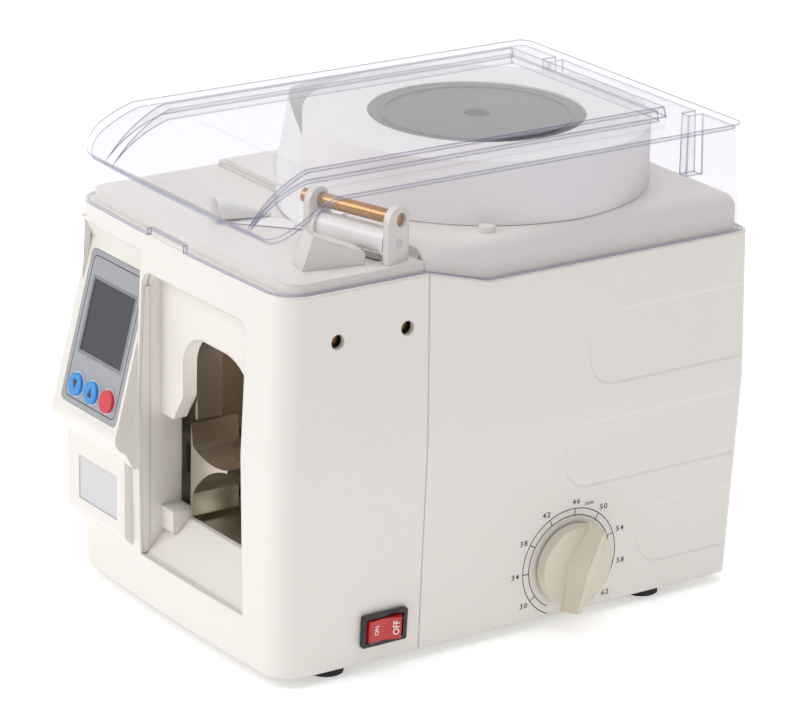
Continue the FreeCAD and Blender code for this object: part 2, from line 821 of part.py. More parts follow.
def panel_sketch(body, name, at):
    sketch = body.newObject("Sketcher::SketchObject", name)
    sketch.MapMode = "FlatFace"
    plane = next(f for f in body.Origin.OriginFeatures if f.Role == "XZ_Plane")
    sketch.AttachmentSupport = [(plane, "")]
    lean = FreeCAD.Rotation(V(1, 0, 0), -size("panel_lean"))
    sketch.AttachmentOffset = FreeCAD.Placement(V(0, 0, 0), lean)
    sketch.setExpression("AttachmentOffset.Rotation.Angle", bound("-panel_lean"))
    sketch.setExpression("AttachmentOffset.Base.y", bound("panel_top_z + (%s) * sin(panel_lean)" % at))
    sketch.setExpression("AttachmentOffset.Base.z", bound("panel_top_y + (%s) * cos(panel_lean)" % at))
    return sketch


def build_panel_windows(body):
    """Seat of the overlay, the display window and the button holes in the leaning face."""
    seat = panel_outline(body, "overlay_seat", "1", round_box(
        "-overlay_left - label_gap", "-overlay_right + label_gap",
        "-(overlay_top + overlay_length + label_gap)", "-overlay_top + label_gap", "overlay_corner"))
    pocket(body, seat, "1 + overlay_thick")
    window = panel_outline(body, "lcd_window", "1", box(
        "-lcd_left - label_gap", "-lcd_right + label_gap",
        "-(overlay_top + lcd_top + lcd_length + label_gap)", "-(overlay_top + lcd_top - label_gap)"))
    pocket(body, window, "1 + panel_wall + 3")
    holes = panel_rounds(body, "button_holes", "1", [
        (x, BUTTON_ROW, "button_radius + button_gap") for x in BUTTON_X.values()])
    pocket(body, holes, "1 + panel_wall + 3")
    posts = panel_rounds(body, "board_posts", "-(panel_wall - button_flange_play * 5)", [
        (x, y, "board_pin_radius") for x in ("-board_pin_left", "-board_pin_right")
        for y in ("-board_pin_top", "-board_pin_low")])
    pad(body, posts, "board_set - panel_wall + button_flange_play * 5", back=True)
    label = outline(body, "label_pocket", "XZ_Plane", "label_house_y + 1", box(
        "-label_left", "-label_right", "label_low", "label_top"))
    pocket(body, label, "1 + label_deep")


def build_cover_fittings(body):
    """Side holes, switch opening, tape slot and screw posts."""
    side = "half_middle + 4"
    holes = circles(body, "side_holes", "YZ_Plane", side, [
        ("-side_hole_front_y", "side_hole_z", "side_hole_radius"),
        ("-side_hole_rear_y", "side_hole_z", "side_hole_radius")])
    pocket(body, holes, "4 + wall + 6")
    switch = outline(body, "switch_opening", "YZ_Plane", side, box(
        "-(switch_front_y - switch_lap + fit_gap)", "-(switch_front_y - switch_long + switch_lap - fit_gap)",
        "switch_z - switch_tall / 2 + switch_lap - fit_gap", "switch_z + switch_tall / 2 - switch_lap + fit_gap"))
    pocket(body, switch, "4 + wall + 6")
    screw_posts(body, "cover", ["-post_x", "post_x"], ["-post_front_y"])
    slot = outline(body, "tape_slot", "XY_Plane", "%s + 1" % DECK, box(
        "-guide_span + 4", "-4", "-4", "4"), shift=("guide_right_x", "-guide_right_y"), turn="guide_turn")
    pocket(body, slot, "front_deck_drop + wall + 8")


def build_body_shell():
    body = new_body("body_shell")
    loft(body, [
        rear_section(body, "shell_low", "foot_height", "half_low", "rear_low"),
        rear_section(body, "shell_middle", MIDDLE, "half_middle", "rear_middle"),
        rear_section(body, "shell_top", RIM_FRONT, "half_top", "rear_top"),
    ])
    slope = outline(body, "rim_slope", "YZ_Plane", "0", [
        ("-seam_y", RIM_FRONT), ("-seam_y + rim_slope_length", RIM_REAR), ("rear_middle + 4", RIM_REAR),
        ("rear_middle + 4", RIM_FRONT + " + 4"), ("-seam_y", RIM_FRONT + " + 4"),
    ])
    pocket(body, slope, both=True)
    deck = rear_section(body, "shell_deck", "%s - wall" % RIM_REAR, "half_top", "rear_top", "rim_width")
    pad(body, deck, "rim_rear_drop + wall")
    round_edges(body, "deck_shoulder", "shoulder_radius", on_deck_edge)
    loft(body, [
        rear_section(body, "room_low", "foot_height - 1", "half_low", "rear_low", "wall", "1"),
        rear_section(body, "room_middle", MIDDLE, "half_middle", "rear_middle", "wall", "1"),
        rear_section(body, "room_top", "%s - wall" % RIM_REAR, "half_top", "rear_top", "wall", "1"),
    ], "PartDesign::SubtractiveLoft")
    under = rear_section(body, "shell_under", "%s - wall" % DECK, "half_top - shoulder_radius / 2",
                         "rear_top - shoulder_radius / 2", "rim_width", "1")
    pocket(body, under, "rim_rear_drop")
    build_shell_fittings(body)
    return place(body)


def on_deck_edge(edge):
    """The upper side and rear edges of the rear deck, without the one along the seam."""
    level = abs(middle(edge).z - size(DECK)) < ROUND + 1e-3
    ends = [edge.valueAt(edge.FirstParameter), edge.valueAt(edge.LastParameter)]
    flat = all(abs(p.z - size(DECK)) < 1e-3 for p in ends)
    at_seam = all(p.y < -size("seam_y") + 1 for p in ends)
    return level and flat and not at_seam


def build_shell_fittings(body):
    """Dial bush hole, nubs round the roll, inlet opening, vents and the hinge ears."""
    bush = circles(body, "dial_hole", "YZ_Plane", "half_middle + 4", [
        ("-dial_y", "dial_z", "bush_radius + fit_gap")])
    pocket(body, bush, "4 + wall + 8")
    inlet = outline(body, "inlet_opening", "XZ_Plane", "-(rear_middle + 4)", box(
        "inlet_x - inlet_wide / 2 - fit_gap", "inlet_x + inlet_wide / 2 + fit_gap",
        "inlet_z - inlet_tall / 2 - fit_gap", "inlet_z + inlet_tall / 2 + fit_gap"))
    pocket(body, inlet, "4 + wall + 8", back=True)
    nubs = circles(body, "deck_nubs", "XY_Plane", DECK, [
        ("nub_ring * cos(%s)" % a, "nub_ring * sin(%s)" % a, "nub_radius") for a in (-32, 212)])
    pad(body, nubs, "nub_rise")
    hub = circles(body, "spindle_hole", "XY_Plane", DECK, [("0", "0", "spindle_neck + fit_gap")])
    pocket(body, hub, "wall + 2")
    for i in range(VENTS):
        vent = outline(body, "vent_%d" % i, "XZ_Plane", "-(rear_middle + 4)", box(
            "vent_x", "vent_x + vent_long", "vent_z + %d * vent_step" % i,
            "vent_z + %d * vent_step + vent_tall" % i))
        pocket(body, vent, "4 + wall + 8", back=True)
    screw_posts(body, "shell", ["-post_x", "post_x"], ["-post_middle_y", "post_rear_y"])
    posts = circles(body, "board_bosses", "XZ_Plane", "-(board_y + board_thick)", [
        (x, z, "board_post_radius") for x in ("-board_left + 5", "board_right - 5")
        for z in ("board_low_z + 5", "board_top_z - 5")])
    pad(body, posts, "rear_middle - board_y - board_thick - wall / 2", back=True)
    for i, x in enumerate(("-hinge_x", "hinge_x")):
        for j, side in enumerate(("-", "+")):
            start = "%s %s (hinge_knuckle_wide + hinge_gap) - hinge_knuckle_wide / 2" % (x, side)
            hinge_knuckle(body, "hinge_ear_%d%d" % (i, j), start, "rear_top - wall / 2", "-hinge_web", "-1")


def hinge_knuckle(body, name, start, root_y, low, high, over=False):
    """One hinge knuckle with its web; low and high bound the web's root above the pin."""
    near = "%s - hinge_knuckle_radius" % HINGE_Y
    root = [(root_y, "%s + (%s)" % (HINGE_Z, low))]
    if over:
        root += [(near, root[0][1]), (near, HINGE_Z, "hinge_knuckle_radius")]
    leaf = outline(body, name, "YZ_Plane", start, root + [
        (HINGE_Y, "%s - hinge_knuckle_radius" % HINGE_Z, "hinge_knuckle_radius"),
        ("%s + hinge_knuckle_radius" % HINGE_Y, HINGE_Z, "hinge_knuckle_radius"),
        (HINGE_Y, "%s + hinge_knuckle_radius" % HINGE_Z), (root_y, "%s + (%s)" % (HINGE_Z, high)),
    ])
    pad(body, leaf, "hinge_knuckle_wide")
    bore = circles(body, name + "_bore", "YZ_Plane", "(%s) - 1" % start, [
        (HINGE_Y, HINGE_Z, "hinge_pin_radius + hinge_bore_gap")])
    pocket(body, bore, "hinge_knuckle_wide + 2", back=True)


def screw_posts(body, name, xs, ys):
    """Posts for the screws that come up through the base plate, each with a web to the nearest wall."""
    spots = [(x, y) for x in xs for y in ys]
    pad(body, circles(body, name + "_posts", "XY_Plane", PLATE_TOP, [
        (x, y, "post_radius") for x, y in spots]), "post_tall")
    for i, (x, y) in enumerate(spots):
        if y == "-post_front_y":
            edges = box("%s - post_web / 2" % x, "%s + post_web / 2" % x,
                        "-(front_low - wall / 2)", "%s - post_radius / 2" % y)
        elif x.startswith("-"):
            edges = box("-(half_low - wall / 2)", "%s - post_radius / 2" % x,
                        "%s - post_web / 2" % y, "%s + post_web / 2" % y)
        else:
            edges = box("%s + post_radius / 2" % x, "half_low - wall / 2",
                        "%s - post_web / 2" % y, "%s + post_web / 2" % y)
        pad(body, outline(body, "%s_web_%d" % (name, i), "XY_Plane", PLATE_TOP, edges), "post_tall")
    bores = circles(body, name + "_bores", "XY_Plane", PLATE_TOP + " - 1", [
        (x, y, "screw_radius + fit_gap") for x, y in spots])
    pocket(body, bores, "post_tall - 2", back=True)


HINGE_Y = "(rear_top + hinge_out)"
HINGE_Z = "(foot_height + case_height - rim_rear_drop - hinge_down)"
VENTS = 6


def brick(body, name, x, y, z):
    """Square block between three pairs of bounds."""
    return pad(body, outline(body, name, "XY_Plane", z[0], box(x[0], x[1], y[0], y[1])),
               "(%s) - (%s)" % (z[1], z[0]))


def rod(body, name, role, at, rounds, length, back=False):
    return pad(body, circles(body, name, role, at, rounds), length, back)


def drill(body, name, role, at, rounds, length, back=False):
    return pocket(body, circles(body, name, role, at, rounds), length, back)


def turned(body, name, role, corners, axis="V_Axis", at="0", shift=None):
    """Body of revolution about one axis of its sketch."""
    return revolve(body, outline(body, name, role, at, corners, shift), axis)


# clear lid
def lid_form(label, inset):
    """The lid's solid outside, drawn in by an inset; the hollow is the same form with the wall's inset."""
    body = doc.addObject("PartDesign::Body", label)
    low = "(%s - 1 + lid_seat_gap + %s)" % (RIM_REAR, "1" if inset == "0" else "0")
    top = "(%s + lid_height - %s)" % (DECK, inset)
    loft(body, [
        lid_section(body, label + "_low", low, "lid_half_low", "lid_rear", inset),
        lid_section(body, label + "_top", top, "lid_half_top", "lid_rear_top", inset),
    ])
    slope = outline(body, label + "_slope", "YZ_Plane", "0", [
        ("-(lid_front + 4)", RIM_REAR + " - 4"), ("-seam_y + rim_slope_length", RIM_REAR + " - 4"),
        ("-seam_y + rim_slope_length", RIM_REAR + " + lid_seat_gap"),
        ("-seam_y", RIM_FRONT + " + lid_seat_gap"), ("-(lid_front + 4)", RIM_FRONT + " + lid_seat_gap"),
    ])
    if inset == "0":
        pocket(body, slope, both=True)
    lid_brow(body, label + "_brow", top, inset)
    half = "(lid_panel_half - %s)" % inset
    panel = outline(body, label + "_panel", "YZ_Plane", "-" + half, [
        ("-(lid_front - lid_brow_run - %s)" % inset, "%s - lid_wall - 2" % top),
        ("-(lid_front - %s)" % inset, "%s - lid_brow_drop" % top, "-lid_brow_radius"),
        ("-(lid_front - lid_brow_run - %s)" % inset, "%s + lid_panel_rise" % top),
        ("lid_panel_rear - %s" % inset, "%s + lid_panel_rise" % top),
        ("lid_panel_rear + lid_panel_rise / 2 - %s" % inset, "%s - lid_wall - 2" % top),
    ])
    pad(body, panel, "2 * " + half)
    return body


def lid_section(body, name, z, half, rear, inset):
    w = "(%s - %s)" % (half, inset)
    f = "(lid_front - %s)" % inset
    b = "(%s - %s)" % (rear, inset)
    rf = "(lid_front_corner - %s)" % inset
    rb = "(lid_rear_corner - %s)" % inset
    return outline(body, name, "XY_Plane", z, [
        ("-(%s - %s)" % (w, rf), "-" + f, "front_bow_radius"), ("%s - %s" % (w, rf), "-" + f, rf),
        (w, "-(%s - %s)" % (f, rf)), (w, "%s - %s" % (b, rb), rb),
        ("%s - %s" % (w, rb), b), ("-(%s - %s)" % (w, rb), b, rb),
        ("-" + w, "%s - %s" % (b, rb)), ("-" + w, "-(%s - %s)" % (f, rf), rf),
    ])


def lid_brow(body, name, top, inset):
    """Rounds the top down to the front wall."""
    brow = outline(body, name, "YZ_Plane", "0", [
        ("-(lid_front + 4)", "%s - lid_brow_drop" % top),
        ("-(lid_front - %s)" % inset, "%s - lid_brow_drop" % top, "-lid_brow_radius"),
        ("-(lid_front - lid_brow_run - %s)" % inset, top),
        ("-(lid_front - lid_brow_run - %s)" % inset, "%s + lid_panel_rise + 4" % top),
        ("-(lid_front + 4)", "%s + lid_panel_rise + 4" % top),
    ])
    pocket(body, brow, both=True)


def build_lid():
    outer = lid_form("lid_outer", "0")
    notch = outline(outer, "lid_notch", "XZ_Plane", "lid_front - lid_wall * 3", box(
        "-notch_x - notch_half", "-notch_x + notch_half", RIM_FRONT + " - 2",
        RIM_FRONT + " + lid_seat_gap + notch_deep"))
    pocket(outer, notch, "lid_wall * 5", back=True)
    inner = lid_form("lid_inner", "lid_wall")
    shell = doc.addObject("Part::Cut", "lid_shell")
    shell.Base = outer
    shell.Tool = inner
    ribs = doc.addObject("PartDesign::Body", "lid_fittings")
    for i, x in enumerate(("-lid_rib_x", "lid_rib_x")):
        brick(ribs, "lid_rib_%d" % i, ("%s - lid_rib_wide / 2" % x, "%s + lid_rib_wide / 2" % x),
              ("lid_rear_top - lid_wall / 2 - lid_rib_deep", "lid_rear_top - lid_wall / 2"),
              (DECK + " + 1", DECK + " + lid_height - lid_wall / 2"))
    for i, x in enumerate(("-hinge_x", "hinge_x")):
        hinge_knuckle(ribs, "lid_knuckle_%d" % i, "%s - hinge_knuckle_wide / 2" % x,
                      "lid_rear - lid_wall / 2", "hinge_down + lid_seat_gap", "hinge_web", over=True)
    lid = shape_of("clear_lid", "Part::MultiFuse", "lid_whole")
    lid.Shapes = [shell, ribs]
    doc.recompute()
    place(lid)
    pins = new_body("hinge_pins")
    for i, x in enumerate(("-hinge_x", "hinge_x")):
        rod(pins, "hinge_pin_%d" % i, "YZ_Plane", "%s - hinge_knuckle_wide * 1.5 - hinge_gap" % x, [
            (HINGE_Y, HINGE_Z, "hinge_pin_radius")], "3 * hinge_knuckle_wide + 2 * hinge_gap")
    place(pins)


# tape roll
def build_roll():
    body = new_body("paper_roll")
    rod(body, "roll", "XY_Plane", DECK + " + roll_rest_gap", [
        ("0", "0", "roll_radius"), ("0", "0", "roll_core_radius")], "tape_wide")
    place(body)
    body = new_body("roll_core")
    top = "(%s + roll_rest_gap + tape_wide - core_drop)" % DECK
    foot = "(%s + roll_rest_gap)" % DECK
    r = "(roll_core_radius - core_gap)"
    turned(body, "core_half", "XZ_Plane", [
        ("spindle_radius + spindle_gap", foot), ("spindle_radius + hub_wall", foot),
        ("spindle_radius + hub_wall", "%s - core_wall" % top), ("%s - core_wall" % r, "%s - core_wall" % top),
        ("%s - core_wall" % r, foot), (r, foot), (r, top),
        ("core_ring_radius + core_wall / 2", top), ("core_ring_radius + core_wall / 2", "%s + core_drop" % top),
        ("core_ring_radius - core_wall / 2", "%s + core_drop" % top), ("core_ring_radius - core_wall / 2", top),
        ("spindle_radius + spindle_gap", top),
    ])
    place(body)
    body = new_body("reel_spindle")
    turned(body, "spindle_half", "XZ_Plane", [
        ("0", DECK + " - spindle_tail"), ("spindle_neck", DECK + " - spindle_tail"), ("spindle_neck", DECK),
        ("spindle_radius + hub_wall / 2", DECK), ("spindle_radius + hub_wall / 2", foot + " - spindle_gap"),
        ("spindle_radius", foot + " - spindle_gap"), ("spindle_radius", DECK + " + spindle_tall"),
        ("0", DECK + " + spindle_tall"),
    ])
    place(body)
    body = new_body("spindle_nut")
    h = "nut_half"
    pad(body, outline(body, "nut", "XY_Plane", "%s - wall" % DECK, [
        (h, "-%s * tan(30)" % h), (h, "%s * tan(30)" % h), ("0", "%s / cos(30)" % h),
        ("-" + h, "%s * tan(30)" % h), ("-" + h, "-%s * tan(30)" % h), ("0", "-%s / cos(30)" % h),
    ]), "nut_tall", back=True)
    drill(body, "nut_bore", "XY_Plane", "%s - wall" % DECK, [
        ("0", "0", "spindle_neck + spindle_gap")], "nut_tall")
    place(body)


# guide set
def build_guide():
    ears = {"guide_ear_right": "0", "guide_ear_left": "-(guide_span + ear_thick)"}
    spot = ("guide_right_x", "-guide_right_y", FRONT_DECK)
    for label, x in ears.items():
        body = new_body(label)
        ear = outline(body, label + "_side", "YZ_Plane", x, [
            ("-ear_deep / 2", "0"), ("ear_deep / 2", "0"),
            ("ear_deep / 2", "ear_top_height - ear_deep / 2", "ear_deep / 2"),
            ("0", "ear_top_height", "ear_deep / 2"), ("-ear_deep / 2", "ear_top_height - ear_deep / 2"),
        ])
        pad(body, ear, "ear_thick")
        drill(body, label + "_bores", "YZ_Plane", "%s - 1" % x, [
            ("0", "guide_roller_height", "guide_shaft_radius + axle_gap"),
            ("guide_pin_rear", "guide_pin_height", "guide_pin_radius + axle_gap")], "ear_thick + 2", back=True)
        place(body, *spot, turn="guide_turn")
    body = new_body("guide_roller")
    long = "(guide_span - 2 * ear_play)"
    r = "(guide_shaft_radius + axle_gap)"
    turned(body, "guide_half", "XZ_Plane", [
        ("-ear_play", r), ("-ear_play", "guide_flange_radius"),
        ("-ear_play - guide_flange_wide", "guide_flange_radius"),
        ("-ear_play - guide_flange_wide", "guide_roller_radius"),
        ("-ear_play - %s + guide_flange_wide" % long, "guide_roller_radius"),
        ("-ear_play - %s + guide_flange_wide" % long, "guide_flange_radius"),
        ("-ear_play - %s" % long, "guide_flange_radius"), ("-ear_play - %s" % long, r),
    ], "H_Axis")
    place(body, spot[0], spot[1], spot[2] + " + guide_roller_height", turn="guide_turn")
    body = new_body("guide_shaft")
    rod(body, "guide_axle", "YZ_Plane", "-(guide_span + ear_thick)", [
        ("0", "guide_roller_height", "guide_shaft_radius")], "guide_span + 2 * ear_thick")
    place(body, *spot, turn="guide_turn")
    body = new_body("guide_pin")
    rod(body, "pin", "YZ_Plane", "-(guide_span + ear_thick + guide_pin_over)", [
        ("guide_pin_rear", "guide_pin_height", "guide_pin_radius")],
        "guide_span + 1.6 * ear_thick + guide_pin_over")
    place(body, *spot, turn="guide_turn")
    body = new_body("tape_fence")
    pad(body, outline(body, "fence_side", "YZ_Plane", "-fence_wide", [
        ("-fence_length", "0"), ("0", "0"), ("0", "fence_rear_height"),
        ("-(fence_length - fence_lean)", "fence_front_height"),
    ]), "fence_wide")
    place(body, "fence_right_x", "-fence_rear_y", FRONT_DECK, turn="-fence_turn")
    body = new_body("loose_strip")
    ribbon = [
        ("-strip_far_x", "-strip_start_y"), ("-strip_far_x", "-strip_bend_y"),
        ("-strip_turn_x", "-strip_turn_y"), ("-strip_low_x", "-strip_low_y"),
        ("-strip_low_x", "-strip_low_y - strip_thick"),
        ("-strip_turn_x - strip_thick", "-strip_turn_y - strip_thick"),
        ("-strip_far_x - strip_thick", "-strip_bend_y - strip_thick"),
        ("-strip_far_x - strip_thick", "-strip_start_y"),
    ]
    pad(body, outline(body, "strip_stand", "XY_Plane", DECK + " + strip_lift", ribbon),
        "tape_wide - 2 * strip_lift")
    pocket(body, outline(body, "strip_fall", "YZ_Plane", "0", [
        ("-strip_bend_y", DECK + " + tape_wide"), ("-strip_low_y - 4", DECK + " + strip_end_height"),
        ("-strip_low_y - 4", DECK + " + tape_wide"),
    ]), both=True)
    place(body)


# display and label
def build_display():
    body = new_body("display_overlay")
    face = panel_outline(body, "overlay_face", "0", round_box(
        "-overlay_left", "-overlay_right", "-(overlay_top + overlay_length)", "-overlay_top", "overlay_corner"))
    pad(body, face, "overlay_thick", back=True)
    pocket(body, panel_outline(body, "overlay_window", "1", box(
        "-lcd_left - label_gap", "-lcd_right + label_gap",
        "-(overlay_top + lcd_top + lcd_length + label_gap)", "-(overlay_top + lcd_top - label_gap)")), "3")
    pocket(body, panel_rounds(body, "overlay_holes", "1", [
        (x, BUTTON_ROW, "button_radius + button_gap") for x in BUTTON_X.values()]), "3")
    place(body)
    body = new_body("lcd_screen")
    pad(body, panel_outline(body, "lcd_face", "-lcd_recess", box(
        "-lcd_left", "-lcd_right", "-(overlay_top + lcd_top + lcd_length)", "-(overlay_top + lcd_top)")),
        "board_set - lcd_recess", back=True)
    place(body)
    for label, x in BUTTON_X.items():
        body = new_body(label)
        pad(body, panel_rounds(body, label + "_cap", "button_proud", [(x, BUTTON_ROW, "button_radius")]),
            "button_proud + panel_wall + button_flange_play", back=True)
        pad(body, panel_rounds(body, label + "_flange", "-(panel_wall + button_flange_play)", [
            (x, BUTTON_ROW, "button_radius + button_flange")]), "button_flange_thick", back=True)
        place(body)
    body = new_body("display_board")
    pad(body, panel_outline(body, "front_board", "-board_set", box(
        "-board_pin_left - 2 * board_pin_radius / 2", "-board_pin_right + board_pin_radius",
        "-(overlay_top + button_row + 2 * key_radius)", "-board_pin_top + board_pin_radius")),
        "board_front_thick", back=True)
    deep = "(panel_wall + button_flange_play + button_flange_thick + button_travel + key_gap)"
    keys = [(x, BUTTON_ROW, "key_radius") for x in BUTTON_X.values()]
    pad(body, panel_rounds(body, "keys", "-%s" % deep, keys),
        "board_set - %s" % deep, back=True)
    place(body)
    body = new_body("label_insert")
    pad(body, outline(body, "label_face", "XZ_Plane", "label_house_y - label_deep", box(
        "-label_left + label_gap", "-label_right - label_gap", "label_low + label_gap",
        "label_top - label_gap")), "label_thick")
    place(body)


# side fittings
def build_switch():
    body = new_body("switch_bezel")
    spot = ("half_low + switch_seat", "-(switch_front_y - switch_long / 2)", "switch_z")
    long, tall = "(switch_long / 2)", "(switch_tall / 2)"
    lap = "(switch_lap)"
    pad(body, outline(body, "bezel_rim", "YZ_Plane", "fit_gap", round_box(
        "-" + long, long, "-" + tall, tall, "switch_lap")), "switch_bezel_proud")
    pad(body, outline(body, "bezel_body", "YZ_Plane", "-switch_body_deep", box(
        "-(%s - %s)" % (long, lap), "%s - %s" % (long, lap), "-(%s - %s)" % (tall, lap),
        "%s - %s" % (tall, lap))), "switch_body_deep + fit_gap")
    inside = "(switch_lap + switch_wall)"
    pocket(body, outline(body, "bezel_room", "YZ_Plane", "-switch_body_deep + switch_floor", box(
        "-(%s - %s)" % (long, inside), "%s - %s" % (long, inside), "-(%s - %s)" % (tall, inside),
        "%s - %s" % (tall, inside))), "switch_body_deep + 4", back=True)
    place(body, *spot, axis=V(0, 1, 0), turn="switch_tilt")
    body = new_body("switch_rocker")
    end = "sqrt(rocker_radius ^ 2 - rocker_back ^ 2)"
    tip = "sqrt(rocker_radius ^ 2 - rocker_crest ^ 2)"
    pad(body, outline(body, "rocker_plan", "XY_Plane", "-(%s - %s - rocker_gap)" % (tall, inside), [
        ("-rocker_back", "-" + end, "rocker_radius"), ("rocker_crest", "-" + tip), ("rocker_waist", "0"),
        ("rocker_crest", tip, "rocker_radius"), ("-rocker_back", end),
    ], shift=("-rocker_pivot_in", "0"), turn="-rocker_swing"), "2 * (%s - %s - rocker_gap)" % (tall, inside))
    place(body, *spot, axis=V(0, 1, 0), turn="switch_tilt")


def boat(body, name, at, length, half):
    """Long lens outline of the grip bar."""
    return outline(body, name, "YZ_Plane", at, [
        ("-%s" % half, "0"), ("-1", "-%s" % length), ("1", "-%s" % length), (half, "0"),
        ("1", length), ("-1", length),
    ], shift=("-dial_y", "dial_z"), turn="-dial_angle")


def build_dial():
    back = "(half_middle - knob_set)"
    body = new_body("dial_knob")
    rod(body, "knob_disc", "YZ_Plane", back, [("-dial_y", "dial_z", "knob_radius")], "knob_disc_thick")
    loft(body, [
        boat(body, "grip_foot", "%s + knob_disc_thick - 1" % back, "grip_half_length", "grip_foot_half"),
        boat(body, "grip_crest", KNOB_FACE, "grip_crest_length", "grip_crest_half")])
    drill(body, "knob_bore", "YZ_Plane", "%s - 1" % back, [
        ("-dial_y", "dial_z", "shaft_radius + dial_bush_gap")], "shaft_in_knob + 1 + dial_bush_gap", back=True)
    place(body)
    body = new_body("dial_shaft")
    rod(body, "shaft", "YZ_Plane", "shaft_inner_x", [("-dial_y", "dial_z", "shaft_radius")],
        "%s + shaft_in_knob - shaft_inner_x" % back)
    place(body)
    body = new_body("dial_bush")
    rod(body, "bush", "YZ_Plane", "bush_flange_x", [
        ("-dial_y", "dial_z", "bush_radius"), ("-dial_y", "dial_z", "shaft_radius + dial_bush_gap")], "bush_long")
    rod(body, "bush_flange", "YZ_Plane", "bush_flange_x", [
        ("-dial_y", "dial_z", "bush_flange_radius"), ("-dial_y", "dial_z", "bush_radius - 1")],
        "bush_flange_thick")
    place(body)
    body = new_body("dial_pinion")
    gear(body, "dial_gear", "YZ_Plane", "pinion_x", ("-dial_y", "dial_z"), "pinion_teeth", "pinion_module",
         "gear_wide", "shaft_radius + dial_bush_gap", "90")
    place(body)


def gear(body, name, role, at, centre, teeth, module, wide, bore, turn):
    """Spur gear: root disc with its bore and one tooth set round it."""
    pitch = "(%s * %s / 2)" % (teeth, module)
    root = "(%s - 1.25 * %s)" % (pitch, module)
    rod(body, name + "_disc", role, at, [(centre[0], centre[1], root), (centre[0], centre[1], bore)], wide)
    tooth = pad(body, outline(body, name + "_tooth", role, at, [
        ("%s - 0.2" % root, "-0.9 * %s" % module), (pitch, "-(0.785 * %s - tooth_lash)" % module),
        ("%s + %s" % (pitch, module), "-0.3 * %s" % module), ("%s + %s" % (pitch, module), "0.3 * %s" % module),
        (pitch, "0.785 * %s - tooth_lash" % module), ("%s - 0.2" % root, "0.9 * %s" % module),
    ], shift=centre, turn=turn), wide)
    ring = body.newObject("PartDesign::PolarPattern", name + "_ring")
    ring.Originals = [tooth]
    ring.Axis = (tooth.Profile[0], ["N_Axis"])
    ring.Angle = 360
    ring.setExpression("Occurrences", bound(teeth))
    tooth.Visibility = False
    body.Tip = ring
    doc.recompute()


